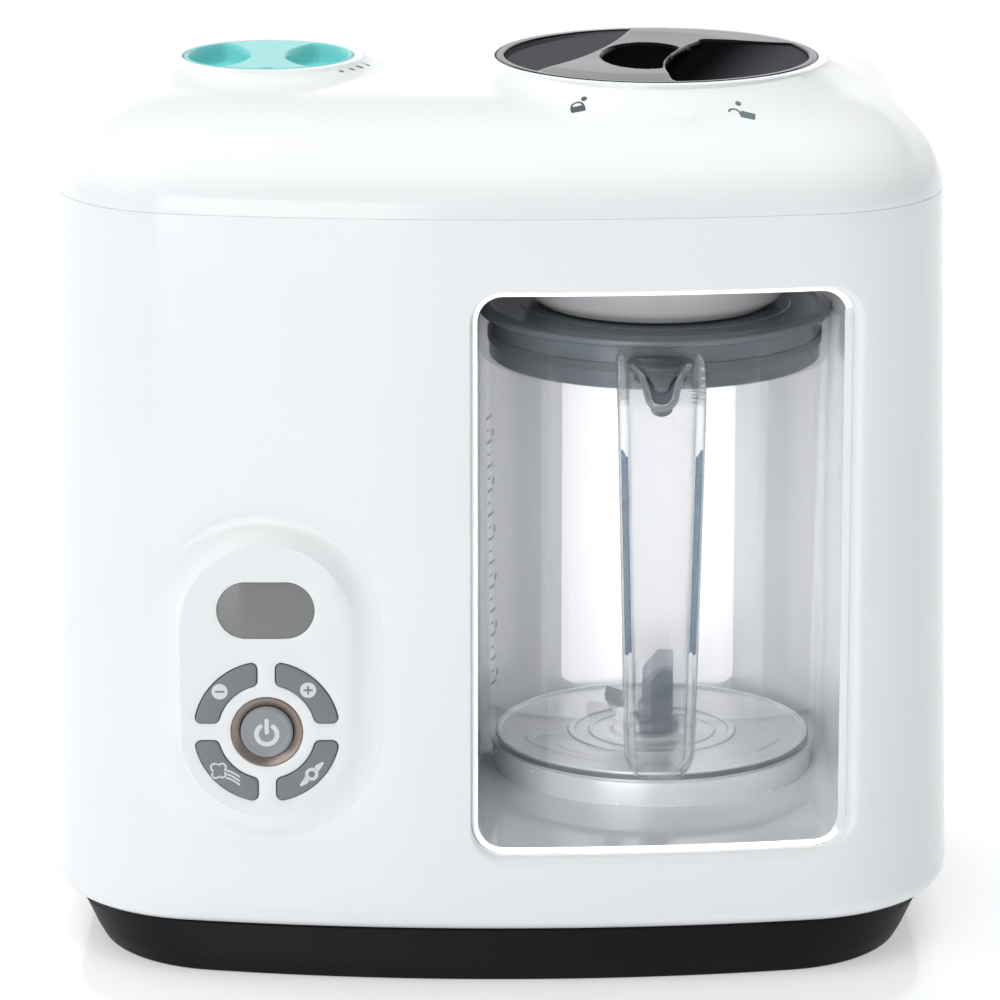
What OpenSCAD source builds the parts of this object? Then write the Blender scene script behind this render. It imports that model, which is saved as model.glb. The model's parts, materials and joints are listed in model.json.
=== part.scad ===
// Baby food steamer blender: a countertop body with a jug niche, a water boiler and a blender drive.
// Origin at the middle of the footprint on the table, X to the right, Y to the back, Z up, millimetres.

/* [Body] */
// Width of the body at the seam under the top cover
body_w = 275; // [266:1:300]
// Depth of the body at the seam under the top cover
body_d = 178; // [172:1:200]
// Outward lean of the side walls towards the table, in degrees
draft = 1.3; // [0.6:0.1:1.8]
// Plan radius of the bowed front
bow_r = 575; // [480:5:760]
// Plan radius of the front corners
front_corner_r = 48; // [42:1:54]
// Plan radius of the back corners
back_corner_r = 40; // [32:1:52]
// Thickness of the outer shells
wall = 2.5; // [2:0.1:3]
// Height of the body's lower edge above the table
skirt_z = 15; // [13.5:0.5:17]
// Height of the rounding above the body's lower edge
skirt_round = 10; // [7:0.5:13]
// How far the lower edge tucks in
skirt_inset = 8; // [6:0.5:9]
// Height of the top cover above its seam
crown_h = 31; // [29:0.5:35]
// Reach of the crown's rounding at the sides
crown_side = 42; // [36:1:46]
// Reach of the crown's rounding at the front
crown_front = 65; // [54:1:70]
// Reach of the crown's rounding at the back
crown_back = 40; // [32:1:46]
// Height of the two collars above the crown
collar_h = 4; // [3:0.5:6]
// Width of the white ring around the dial and the cap
collar_w = 3.6; // [3:0.2:5]
// Radius of the rubber feet
foot_r = 8; // [6:0.5:10]
// Distance of the rubber feet from the sides of the body
foot_side = 38; // [34:1:44]
// Distance of the rubber feet from the front and the back of the body
foot_end = 30; // [28:1:34]
// Height of the base tray above the table
foot_h = 2; // [1.5:0.25:2.5]

/* [Niche] */
// Height of the niche floor above the table
floor_z = 42; // [41:0.5:46]
// Corner radius of the niche mouth
mouth_r = 10; // [6:0.5:14]
// Gap beside the jug lid on each side
niche_gap = 2; // [1.5:0.25:4]
// Gap between the jug lid and the niche ceiling
head_show = 24; // [20:0.5:28]
// Height of the front band between the niche mouth and the seam
header_h = 21.2; // [20:0.4:26]
// How far the niche's round back lies behind the jug axis
back_shift = 9; // [8.5:0.25:11]
// Bevel around the niche mouth
mouth_bevel = 3; // [1.5:0.5:4]

/* [Jug] */
// Distance of the jug axis right of the middle
jug_x = 50; // [48:0.5:54]
// Distance of the jug axis behind the middle
jug_y = 4; // [0:0.5:6]
// Outer radius of the jug at its rim
jug_top_r = 56.8; // [55:0.2:58]
// How much narrower the jug's radius is at its foot
jug_taper = 2.8; // [2:0.2:4]
// Height of the jug from the underside of its base to its rim
jug_h = 153.7; // [148:0.5:160]
// Wall of the jug
jug_wall = 2.4; // [2:0.1:2.8]
// Height of the jug base
jug_base_h = 10; // [9.6:0.2:11]
// Finger gap behind the handle
finger_gap = 25; // [22:0.5:27]
// Depth of the handle from front to back
handle_d = 10; // [9:0.25:11]
// Width of the handle at its top
handle_w = 28; // [25:0.5:31]
// Width of the handle at its lower end
handle_end_w = 21.6; // [20:0.4:24]
// Height of the handle's lower end above the niche floor
handle_low = 21; // [16:1:30]
// Depth of the lid's skirt inside the jug
lid_skirt = 14.3; // [11:0.5:18]
// Height of the tall blade wing above the table side of the jug floor
tall_wing = 24; // [18:0.5:30]

/* [Dial and cap] */
// Radius of the locking dial
dial_r = 51.3; // [49:0.3:53]
// Turn of the locking dial from locked to open, in degrees
dial_turn = 50; // [40:1:60]
// Lift of the steam head over that turn
head_lift = 6; // [4:0.5:6.5]
// Radius of the steam head
head_r = 42.9; // [41:0.3:45]
// Distance of the water cap axis left of the middle
cap_left = 74; // [70:0.5:78]
// Radius of the water cap
cap_r = 27.1; // [25:0.3:29]

/* [Controls] */
// Distance of the controls left of the middle
panel_left = 72.6; // [70:0.2:75]
// Width of the raised oval at its foot
bezel_w = 72.5; // [68:0.5:76]
// Height of the raised oval at its foot
bezel_h = 104; // [100:0.5:110]
// Width of the raised oval at its face
face_w = 53.4; // [52:0.2:56]
// Height of the raised oval at its face
face_h = 88; // [86:0.5:92]
// Height of the middle of the oval above the table
bezel_z = 99; // [97:0.5:103]
// How far the face stands out of the front
face_proud = 4.6; // [3.6:0.2:5]
// Height of the power key above the table
keys_z = 82.8; // [81:0.2:84]
// Outer radius of the ring of keys
keys_r = 22.6; // [21.6:0.2:22.8]
// Inner radius of the ring of keys
keys_in_r = 15.5; // [15:0.1:16.5]
// Width of the gaps between the four keys
keys_gap = 6; // [4:0.25:7]
// Press travel of a key
key_travel = 1; // [0.6:0.1:1.2]
// Width of the display window
display_w = 30.2; // [26:0.2:32]
// Height of the display window
display_h = 18; // [15:0.5:18.5]
// Height of the middle of the display above the table
display_z = 122; // [121:0.5:124]

/* [Boiler and drive] */
// Outer radius of the water tank
tank_r = 42; // [38:0.5:44]
// Height of the water tank
tank_h = 75; // [60:1:80]
// Distance of the motor axis left of the middle
motor_left = 72; // [70:0.5:76]
// Distance of the motor axis behind the middle
motor_y = 24; // [21:0.5:27]
// Outer radius of the motor can
motor_r = 34; // [31:0.5:34.5]
// Length of the motor can
motor_h = 70; // [58:1:76]
// Running radius of the motor pulley
small_pulley_r = 9; // [8:0.25:10]
// Running radius of the drive pulley
big_pulley_r = 27; // [24:0.5:28]

/* [Hidden] */
$fn = 64;
far = 400;
eps = 0.5;
// Clearances: parts that rest on one another, run in one another, and joints of the shell
seat_gap = 0.3;
run_gap = 0.05;
fix_gap = 0.05;
seam_gap = 0.2;
// Colours
white = [0.95, 0.96, 0.97];
charcoal = [0.16, 0.16, 0.18];
black = [0.06, 0.06, 0.07];
teal = [0.36, 0.72, 0.72];
grey = [0.55, 0.57, 0.59];
clear = [0.86, 0.92, 0.94];
steel = [0.72, 0.73, 0.75];
rubber = [0.1, 0.1, 0.1];
copper = [0.72, 0.45, 0.25];
green = [0.1, 0.35, 0.2];

// Plan outline of the body
half_w = body_w / 2;
half_d = body_d / 2;
bow_cy = bow_r - half_d;
corner_cx = half_w - front_corner_r;
corner_cy = bow_cy - sqrt(pow(bow_r - front_corner_r, 2) - pow(corner_cx, 2));
corner_turn = asin(corner_cx / (bow_r - front_corner_r));
back_cx = half_w - back_corner_r;
back_cy = half_d - back_corner_r;
split_y = corner_cy;

// Jug heights, from the niche floor up
jug_foot_r = jug_top_r - jug_taper;
jug_z = floor_z + seat_gap;
jug_foot_z = jug_z + jug_base_h;
jug_rim_z = jug_z + jug_h;
lid_t = 3;
steam_in_r = 5;
lid_r = jug_top_r + 0.2;
lid_z = jug_rim_z + seat_gap;
lid_top_z = lid_z + lid_t;
head_z = lid_top_z + seat_gap;

// Body heights
niche_half = lid_r + niche_gap;
niche_top_z = lid_top_z + head_show;
seam_z = niche_top_z + header_h;
cover_z = seam_z + seam_gap;
top_z = seam_z + crown_h;
rim_z = top_z + collar_h;
base_z = foot_h;
base_floor = 3;
tray_z = base_z + base_floor;
base_rim_z = skirt_z - seam_gap;
lean_foot = (seam_z - skirt_z) * tan(draft);

// Niche
liner_wall = 2;
niche_back_y = jug_y + back_shift;
lip_y = -half_d + 21;
head_hole_r = head_r + 1.1;
dog_r = 12;
dog_hole_r = dog_r + 1;
panel_w = 60;
panel_t = 1.6;
panel_r = 6;
panel_low = 11;
panel_top_gap = 9;
post_r = 4;
post_bore_r = 1.6;
post_depth = 14;
post_x = niche_half - 17;
post_front_y = jug_y - 54;
post_back_y = jug_y + 44;

// Wells of the dial and the cap
well_depth = 14;
well_floor = 2;
well_z = rim_z - well_depth;
bore_gap = 0.35;
cap_x = -cap_left;
cap_y = jug_y;
rim_w = 2.3;

// Lift of the steam head
guide_r = 27.5;
guide_wall = 2.5;
sleeve_r = guide_r - 0.6;
sleeve_in_r = 22;
stem_r = sleeve_in_r - 0.5;
pin_r = 2;
slot_r = 2.5;
slot_steps = 12;
cup_h = 26.4;
head_screws = [30, 150, 270];
dial_screw_at = 18;
pipe_tail = 14;
cup_wall = 2.5;
pin_z = head_z + 45.4;
sleeve_z = head_z + cup_h + head_lift + 1;
clip_t = 2;
guide_z = sleeve_z + clip_t + 1;
guide_top_z = well_z - well_floor - seat_gap;
guide_flange_t = 2.2;
guide_flange_r = 38;
pipe_r = 4;
pipe_in_r = 2.6;
pipe_x = jug_x - 35;
pipe_hole_r = pipe_r + 1.2;

// Controls
panel_x = -panel_left;
bezel_wall = 2.4;
key_gap = 0.3;
key_flange = 0.8;
key_flange_t = 1.4;
key_stem = 3.4;
key_proud = 0.5;
stem_key_r = 2;
power_r = 8.2;
ring_r = power_r + 3;
lens_t = 1.6;
lens_flange = 1.5;
board_w = 40;
board_h = 80;
board_t = 1.6;
switch_h = 3.5;
switch_w = 6;
board_post_x = 17;
board_post_up = 36;
board_post_r = 2.5;
board_screw_r = 1.2;

// Boiler
tank_top_z = well_z - 26;
tank_z = tank_top_z - tank_h;
tank_wall = 2;
neck_in_r = 21;
neck_wall = 2.5;
bung_r = neck_in_r - 1.4;
bung_h = 14;
plate_t = 4;
heater_r = 28;
heater_tube_r = 4;
cradle_w = 4;
cradle_z = tank_z - plate_t - seat_gap;
leg_r = 4;
steam_z = tank_top_z + 9;
steam_x = cap_x + tank_r - 8;
bend_r = 8;

// Motor, belt and drive
motor_x = -motor_left;
shaft_r = 3;
belt_z = 13;
belt_h = 8;
belt_t = 1.5;
belt_gap = 0.3;
pulley_edge = 1.5;
pulley_edge_h = 2;
pulley_h = belt_h + 2 * (pulley_edge + 0.5);
pulley_z = belt_z - pulley_edge - 0.5;
shaft_low_z = tray_z + 2;
bracket_z = pulley_z + pulley_h + 10;
bracket_t = 3;
can_z = bracket_z + bracket_t + fix_gap;
can_wall = 2;
cap_disc_t = 4;
bush_r = 6;
rotor_r = 22;
magnet_t = 7;
bracket_post_r = 40;
bracket_post_angles = [90, 200, 300];
carrier_r = 20;
carrier_t = 2.2;
carrier_z = floor_z - liner_wall - carrier_t - seam_gap;
carrier_low_z = pulley_z + pulley_h + 1.4;
carrier_tube_r = 9;
dog_w = 8;
dog_l = 22;
dog_top_z = jug_z + 6.5;
nut_h = 4;
nut_r = 5.5;

// Jug base and blade
jug_in_r = jug_foot_r - jug_wall;
base_plug_r = jug_in_r - 0.4;
base_skirt_r = jug_foot_r - 1.6;
base_skirt_t = 3.2;
base_bevel = 1.6;
base_floor_t = 2.4;
jug_floor_z = jug_foot_z + 1.8;
coupling_r = 16;
coupling_gap = 0.35;
coupling_z = jug_z + 2.2;
coupling_top_z = jug_floor_z - base_floor_t - 0.9;
blade_bush_r = 5.5;
hub_z = jug_floor_z + 1.3;
hub_h = 3;
blade_z = hub_z + hub_h;
blade_t = 1.5;
blade_w = 10;
skirt_out_r = jug_top_r - jug_wall - 0.9;
skirt_t = 2;
gasket_r = jug_top_r - jug_wall - 0.35;
gasket_h = 3;

// Handle
handle_back_y = jug_y - jug_foot_r - finger_gap;
handle_front_y = handle_back_y - handle_d;
handle_top_z = jug_rim_z - 0.5;
handle_bend_r = 16;
handle_low_z = floor_z + handle_low;
rail_w = 3.5;
web_t = 3.2;
tongue_gap = 0.4;
tongue_t = 3;

// Cord gland on the back
gland_in = 5.5;
gland_x = gland_in - back_cx;
gland_z = 34;
gland_r = 7;
cord_r = 3.6;
gland_y = half_d + (seam_z - gland_z) * tan(draft);

// Points along a circle's arc
function arc(c, r, a0, a1, n) = [for (i = [0:n]) let (a = a0 + (a1 - a0) * i / n) c + r * [cos(a), sin(a)]];
function tail(p) = [for (i = [1:len(p) - 1]) p[i]];
function head(p) = [for (i = [0:len(p) - 2]) p[i]];
function outline(t) = concat(
    arc([0, bow_cy], bow_r - t, 270 - corner_turn, 270 + corner_turn, 12),
    tail(arc([corner_cx, corner_cy], front_corner_r - t, 270 + corner_turn, 360, 10)),
    arc([back_cx, back_cy], back_corner_r - t, 0, 90, 10),
    arc([-back_cx, back_cy], back_corner_r - t, 90, 180, 10),
    head(arc([-corner_cx, corner_cy], front_corner_r - t, 180, 270 - corner_turn, 10)));
function lean(z) = (seam_z - z) * tan(draft);
function level(t, z) = [for (p = outline(t - lean(z))) [p[0], p[1], z]];
function flat(t, z) = [for (p = outline(t - lean_foot)) [p[0], p[1], z]];
function skirt_rings(t) = [for (a = [0:18:90]) level(t + skirt_inset * (1 - sin(a)), skirt_z + skirt_round * (1 - cos(a)))];
function crown_y(y, f) = y * (1 - (y < 0 ? crown_front : crown_back) * f / half_d);
function crown_ring(t, a, top) = let (f = 1 - cos(a)) [for (p = outline(t))
    [p[0] * (1 - crown_side * f / half_w), crown_y(p[1], f), cover_z + (top - cover_z) * sin(a)]];
function crown_rings(t, top) = [for (a = [0, 15, 30, 45, 60, 72, 82, 90]) crown_ring(t, a, top)];
// Front of the body at a given place
function front_y(x, z) = let (t = -lean(z))
    abs(x) <= (bow_r - t) * sin(corner_turn) ? bow_cy - sqrt(pow(bow_r - t, 2) - x * x)
    : corner_cy - sqrt(pow(front_corner_r - t, 2) - pow(abs(x) - corner_cx, 2));

bezel_left_y = front_y(panel_x - bezel_w / 2, bezel_z);
bezel_right_y = front_y(panel_x + bezel_w / 2, bezel_z);
bezel_turn = atan2(bezel_right_y - bezel_left_y, bezel_w);
bezel_y = (bezel_left_y + bezel_right_y) / 2;
face_y = front_y(panel_x, bezel_z) - face_proud;
face_back_y = face_y + bezel_wall;
key_back_y = face_back_y + seat_gap + key_flange_t;
stem_end_y = key_back_y + key_stem;
switch_y = stem_end_y + key_travel + 0.15;
board_y = switch_y + switch_h;

// Rings of the raised oval, from its foot in the bowed front to its flat face
function oval(w, h) = concat(arc([0, (h - w) / 2], w / 2, 0, 180, 16), arc([0, (w - h) / 2], w / 2, 180, 360, 16));
function foot_ring(w, h, d) = [for (p = oval(w, h)) [panel_x + p[0], bezel_y + p[0] * tan(bezel_turn) + d, bezel_z + p[1]]];
function face_ring(w, h, y) = [for (p = oval(w, h)) [panel_x + p[0], y, bezel_z + p[1]]];
function flare_ring(f) = let (a = foot_ring(bezel_w, bezel_h, 0), b = face_ring(face_w, face_h, face_y), g = 1 - pow(1 - f, 1.8))
    [for (i = [0:len(a) - 1]) [a[i][0] + (b[i][0] - a[i][0]) * g, a[i][1] + (b[i][1] - a[i][1]) * f, a[i][2] + (b[i][2] - a[i][2]) * g]];

// A solid through a stack of closed rings with equal counts of points
module loft(rings) {
    n = len(rings[0]);
    m = len(rings);
    sides = [for (k = [0:m - 2]) for (i = [0:n - 1]) let (j = (i + 1) % n, a = k * n + i, b = k * n + j)
        each [[a, a + n, b + n], [a, b + n, b]]];
    polyhedron(points = [for (r = rings) each r],
        faces = concat([[for (i = [0:n - 1]) i]], sides, [[for (i = [n - 1:-1:0]) (m - 1) * n + i]]));
}
module lathe(points) {
    rotate_extrude() polygon(points);
}
module tube(r, r_in, z0, z1) {
    lathe([[r_in, z0], [r, z0], [r, z1], [r_in, z1]]);
}
module rod(r, z0, z1) {
    translate([0, 0, z0]) cylinder(r = r, h = z1 - z0);
}
module along_y(y0, y1) {
    translate([0, y1, 0]) rotate([90, 0, 0]) linear_extrude(y1 - y0) children();
}
module along_x(x0, x1) {
    translate([x0, 0, 0]) rotate([90, 0, 90]) linear_extrude(x1 - x0) children();
}
module at_jug() {
    translate([jug_x, jug_y, 0]) children();
}
module at_cap() {
    translate([cap_x, cap_y, 0]) children();
}
module at_motor() {
    translate([motor_x, motor_y, 0]) children();
}
module rounded(w, h, r) {
    square([w - 2 * r, h], center = true);
    square([w, h - 2 * r], center = true);
    for (x = [-1, 1], y = [-1, 1]) translate([x * (w / 2 - r), y * (h / 2 - r)]) circle(r);
}
module stadium(w, h) {
    r = min(w, h) / 2;
    square([w - (w <= h ? 0 : 2 * r), h - (w <= h ? 2 * r : 0)], center = true);
    for (s = [-1, 1]) translate([w <= h ? 0 : s * (w / 2 - r), w <= h ? s * (h / 2 - r) : 0]) circle(r);
}

// Shapes of the niche
module mouth_outline(grow) {
    h = niche_top_z - floor_z;
    translate([jug_x, floor_z + h / 2]) rounded(2 * (niche_half + grow), h + 2 * grow, mouth_r + grow);
}
module niche_plan(grow) {
    translate([jug_x, niche_back_y]) circle(niche_half + grow);
    translate([jug_x - niche_half - grow, -far]) square([2 * (niche_half + grow), far + niche_back_y]);
}
module niche_room(grow, y0) {
    intersection() {
        along_y(y0, far) mouth_outline(grow);
        linear_extrude(far) niche_plan(grow);
    }
}
module at_liner_posts() {
    for (x = [-1, 1], y = [post_front_y, post_back_y]) translate([jug_x + x * post_x, y, 0]) children();
}

// Shapes of the controls
module at_panel(y, z) {
    translate([panel_x, y, z]) children();
}
module key_sector(sx, sz, grow) {
    reach = keys_r + grow;
    start = keys_gap / 2 - grow;
    intersection() {
        difference() {
            circle(keys_r + grow);
            circle(keys_in_r - grow);
        }
        translate([sx > 0 ? start : -start - reach, sz > 0 ? start : -start - reach]) square(reach);
    }
}
module arc_key(sx, sz) {
    mid = (keys_r + keys_in_r) / 2 * sqrt(0.5);
    at_panel(0, keys_z) {
        along_y(face_y - key_proud, key_back_y - key_flange_t + eps) key_sector(sx, sz, 0);
        along_y(key_back_y - key_flange_t, key_back_y) key_sector(sx, sz, key_flange);
        along_y(key_back_y - eps, stem_end_y) translate([sx * mid, sz * mid]) circle(stem_key_r);
    }
}
module at_board_posts() {
    for (x = [-1, 1], z = [-1, 1]) translate([panel_x + x * board_post_x, 0, bezel_z + z * board_post_up]) children();
}

module base_tray() color(charcoal) {
    rim_t = skirt_inset + wall + 0.4;
    difference() {
        union() {
            difference() {
                loft([flat(skirt_inset + 4, base_z), flat(skirt_inset + 1.8, base_z + 0.6),
                    flat(skirt_inset + 0.5, base_z + 2.5), flat(skirt_inset, base_rim_z)]);
                loft([flat(skirt_inset + wall, tray_z), flat(skirt_inset + wall, skirt_z + 1)]);
            }
            difference() {
                loft([flat(rim_t, tray_z - 1), flat(rim_t, skirt_z + 6)]);
                loft([flat(rim_t + 2, tray_z), flat(rim_t + 2, skirt_z + 7)]);
            }
            for (a = bracket_post_angles)
                at_motor() rotate(a) translate([bracket_post_r, 0, 0]) rod(post_r, tray_z - eps, bracket_z - fix_gap);
        }
        at_feet() rod(foot_r + 0.2, 0, base_z + 1.2);
        at_liner_posts() {
            rod(post_bore_r + 0.1, 0, far);
            rod(3.3, 0, base_z + 1.8);
        }
        for (i = [0:6]) at_motor() translate([-30 + i * 8, -34, 0]) cube([3, 20, far]);
    }
}
module at_feet() {
    for (x = [-1, 1], y = [-1, 1]) translate([x * (half_w - foot_side), y * (half_d - foot_end), 0]) children();
}
module rubber_feet() color(rubber) {
    at_feet() lathe([[0, 0], [foot_r - 0.8, 0], [foot_r, 0.8], [foot_r, base_z + 1.1], [0, base_z + 1.1]]);
}
module case_screws() color(steel) {
    at_liner_posts() {
        rod(3, base_z + 0.2, base_z + 1.7);
        rod(post_bore_r - 0.1, base_z + 1.7, tray_z + post_depth - 2);
    }
    at_board_posts() {
        along_y(face_back_y + 3, board_y + board_t + eps) circle(board_screw_r);
        along_y(board_y + board_t, board_y + board_t + 1.6) circle(2.6);
    }
    at_jug() for (a = head_screws) rotate(a) translate([guide_flange_r - 4, 0, 0]) {
        rod(1.25, guide_top_z - guide_flange_t - 0.2, well_z - 0.3);
        rod(2.4, guide_top_z - guide_flange_t - 1.7, guide_top_z - guide_flange_t - 0.1);
    }
}
module body_wall() {
    difference() {
        loft(concat(skirt_rings(0), [level(0, seam_z)]));
        loft(concat([level(skirt_inset + wall, skirt_z - 1)], skirt_rings(wall), [level(wall, seam_z + 1)]));
    }
}
module front_panel() color(white) {
    difference() {
        union() {
            intersection() {
                body_wall();
                translate([-far, split_y - seam_gap - far, 0]) cube([2 * far, far, far]);
            }
            intersection() {
                loft([level(wall / 2, skirt_z + skirt_round), level(wall / 2, seam_z - 1)]);
                along_y(-far, lip_y) mouth_outline(wall);
            }
        }
        along_y(-far, 0) mouth_outline(0);
        at_panel(0, bezel_z) along_y(-far, 0) stadium(bezel_w + 0.6, bezel_h + 0.6);
        mouth_chamfer();
    }
}
module rear_shell() color(white) {
    difference() {
        intersection() {
            body_wall();
            translate([-far, split_y, 0]) cube([2 * far, far, far]);
        }
        translate([gland_x, 0, gland_z]) along_y(0, far) circle(gland_r + 0.1);
    }
}
module mouth_chamfer() {
    lip_turn = asin(jug_x / bow_r);
    front = front_y(jug_x, (floor_z + niche_top_z) / 2);
    h = niche_top_z - floor_z;
    translate([jug_x, front, floor_z + h / 2]) rotate([-draft, 0, lip_turn]) hull() {
        along_y(-20, -19) rounded(2 * (niche_half + mouth_bevel + 19), h + 2 * (mouth_bevel + 19), mouth_r + 10);
        along_y(mouth_bevel, mouth_bevel + 1) rounded(2 * niche_half - 2, h - 2, mouth_r);
    }
}
module collar(bore_r, hole_r) {
    r = bore_r + collar_w;
    low = well_z - well_floor;
    lathe([[hole_r, low], [r, low], [r, top_z - 12], [r + 2, top_z - 8], [r, top_z + 1.5], [r, rim_z - 1],
        [r - 1, rim_z], [bore_r, rim_z], [bore_r, well_z], [hole_r, well_z]]);
}
module top_cover() color(white) {
    dial_bore_r = dial_r + bore_gap;
    cap_bore_r = cap_r + bore_gap;
    low = well_z - well_floor;
    lip_t = wall + 0.3;
    difference() {
        union() {
            difference() {
                union() {
                    loft(crown_rings(0, top_z));
                    loft([flat_top(lip_t, seam_z - 5), flat_top(lip_t, cover_z + 3)]);
                }
                loft(concat([flat_top(lip_t + 1.8, seam_z - 6), flat_top(lip_t + 1.8, cover_z)],
                    tail(crown_rings(lip_t + 1.8, top_z - wall))));
            }
            at_jug() collar(dial_bore_r, guide_r);
            at_cap() collar(cap_bore_r, neck_in_r + 0.3);
        }
        at_jug() {
            rod(dial_bore_r, well_z, far);
            rod(guide_r, low - 1, far);
            for (a = head_screws) rotate(a) translate([guide_flange_r - 4, 0, 0]) rod(1.4, low - 1, well_z + 1);
        }
        at_cap() {
            rod(cap_bore_r, well_z, far);
            rod(neck_in_r + 0.3, low - 1, far);
        }
    }
}
function flat_top(t, z) = [for (p = outline(t)) [p[0], p[1], z]];

module niche_liner() color(white) {
    difference() {
        union() {
            niche_room(liner_wall, lip_y + seam_gap);
            at_liner_posts() rod(post_r, tray_z + seam_gap, floor_z - liner_wall + eps);
        }
        niche_room(0, -far);
        at_jug() {
            rod(head_hole_r, niche_top_z - 1, niche_top_z + far);
            rod(dog_hole_r, floor_z - liner_wall - 1, floor_z + 1);
        }
        at_liner_posts() rod(post_bore_r, 0, tray_z + post_depth);
    }
}
module niche_back_panel() color(white) {
    chord_y = niche_back_y + sqrt(pow(niche_half, 2) - pow(panel_w / 2, 2)) - seam_gap;
    low = floor_z + panel_low;
    high = niche_top_z - panel_top_gap;
    translate([jug_x, 0, (low + high) / 2]) along_y(chord_y - panel_t, chord_y) rounded(panel_w, high - low, panel_r);
}
module control_bezel() color(white) {
    difference() {
        loft([foot_ring(bezel_w, bezel_h, 5), foot_ring(bezel_w, bezel_h, 0), flare_ring(0.35), flare_ring(0.75),
            face_ring(face_w, face_h, face_y)]);
        loft([foot_ring(bezel_w - 2 * bezel_wall, bezel_h - 2 * bezel_wall, 6),
            foot_ring(bezel_w - 2 * bezel_wall, bezel_h - 2 * bezel_wall, 1), face_ring(face_w - 1.4, face_h - 1.4, face_back_y)]);
        at_panel(0, keys_z) along_y(-far, face_back_y + 1) {
            for (sx = [-1, 1], sz = [-1, 1]) key_sector(sx, sz, key_gap);
            circle(ring_r + 0.1);
        }
        at_panel(0, display_z) along_y(-far, face_back_y + 1) stadium(display_w + 0.2, display_h + 0.2);
    }
    difference() {
        at_board_posts() along_y(face_back_y - eps, board_y - fix_gap) circle(board_post_r);
        at_board_posts() along_y(face_back_y + 2, far) circle(board_screw_r + 0.05);
    }
}
module display_window() color(grey) {
    at_panel(0, display_z) {
        along_y(face_y + 0.3, face_back_y + eps) stadium(display_w, display_h);
        along_y(face_back_y + fix_gap, face_back_y + lens_t) stadium(display_w + 2 * lens_flange, display_h + 2 * lens_flange);
    }
}
module control_board() color(green) {
    at_panel(0, bezel_z) difference() {
        along_y(board_y, board_y + board_t) square([board_w, board_h], center = true);
        translate([-panel_x, 0, -bezel_z]) at_board_posts() along_y(-far, far) circle(board_screw_r + 0.2);
    }
}
module board_parts() color(charcoal) {
    mid = (keys_r + keys_in_r) / 2 * sqrt(0.5);
    at_panel(0, keys_z) for (p = [[0, 0], [mid, mid], [mid, -mid], [-mid, mid], [-mid, -mid]]) {
        along_y(switch_y + 1, board_y) translate(p) square(switch_w, center = true);
        along_y(switch_y, switch_y + 1.5) translate(p) circle(1.7);
    }
    at_panel(0, display_z) along_y(face_back_y + lens_t + seam_gap, board_y) square([display_w, display_h - 2], center = true);
    at_panel(0, bezel_z) {
        along_y(board_y + board_t, board_y + board_t + 15) translate([-10, 14]) square([18, 16], center = true);
        along_y(board_y + board_t, board_y + board_t + 18) translate([12, 10]) circle(7);
    }
}
module minus_key() color(grey) {
    arc_key(-1, 1);
}
module plus_key() color(grey) {
    arc_key(1, 1);
}
module steam_key() color(grey) {
    arc_key(-1, -1);
}
module blend_key() color(grey) {
    arc_key(1, -1);
}
module power_key() color(grey) {
    at_panel(0, keys_z) {
        along_y(face_y - key_proud, key_back_y - key_flange_t + eps) circle(power_r);
        along_y(key_back_y - key_flange_t, key_back_y) circle(power_r + 2);
        along_y(key_back_y - eps, stem_end_y) circle(stem_key_r);
    }
}
module power_ring() color(charcoal) {
    at_panel(0, keys_z) {
        along_y(face_y - 0.2, face_back_y) difference() {
            circle(ring_r);
            circle(power_r + key_gap);
        }
    }
}

module lock_dial() color(black) {
    low = well_z + seat_gap;
    pocket_r = dial_r - rim_w;
    at_jug() difference() {
        lathe([[0, low], [dial_r, low], [dial_r, rim_z - 0.8], [dial_r - 0.8, rim_z], [0, rim_z]]);
        translate([-dial_r, 0, rim_z - 3]) rotate([0, 5, 0]) linear_extrude(far) translate([dial_r, 0]) intersection() {
            circle(pocket_r);
            translate([-2 * dial_r, 0.88 * dial_r]) circle(1.81 * dial_r);
        }
        translate([dial_r, 0, rim_z - 3]) rotate([0, -7, 0]) linear_extrude(far) translate([-dial_r, 0]) intersection() {
            circle(pocket_r);
            translate([1.95 * dial_r, -0.39 * dial_r]) circle(1.91 * dial_r);
            translate([0, 31 - far]) square([far, far]);
        }
        translate([-6, 0, rim_z - 4]) linear_extrude(far) stadium(20, 48);
        for (a = head_screws) rotate(a) translate([dial_screw_at, 0, 0]) rod(1.5, low - 1, low + 4);
    }
}
module cam_sleeve() color(white) {
    high = well_z + seat_gap;
    at_jug() difference() {
        lathe([[sleeve_in_r, sleeve_z], [sleeve_r, sleeve_z], [sleeve_r, high], [12, high], [12, high - 3.2],
            [sleeve_in_r, high - 3.2]]);
        for (s = [0:slot_steps], a = [90, 270])
            rotate(a - dial_turn * s / slot_steps) translate([sleeve_in_r - 3, 0, pin_z + head_lift * s / slot_steps])
                rotate([0, 90, 0]) cylinder(r = slot_r, h = 10);
        for (a = head_screws) rotate(a) translate([dial_screw_at, 0, 0]) rod(1.5, high - 4, high + 1);
    }
}
module dial_screws() color(steel) {
    high = well_z + seat_gap;
    at_jug() for (a = head_screws) rotate(a) translate([dial_screw_at, 0, 0]) {
        rod(1.4, high - 3.4, high + 3.5);
        rod(2.6, high - 4.8, high - 3.3);
    }
}
module sleeve_clip() color(steel) {
    at_jug() tube(sleeve_r + 2.6, sleeve_r + fix_gap, sleeve_z + 0.3, sleeve_z + clip_t + 0.3);
}
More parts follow.
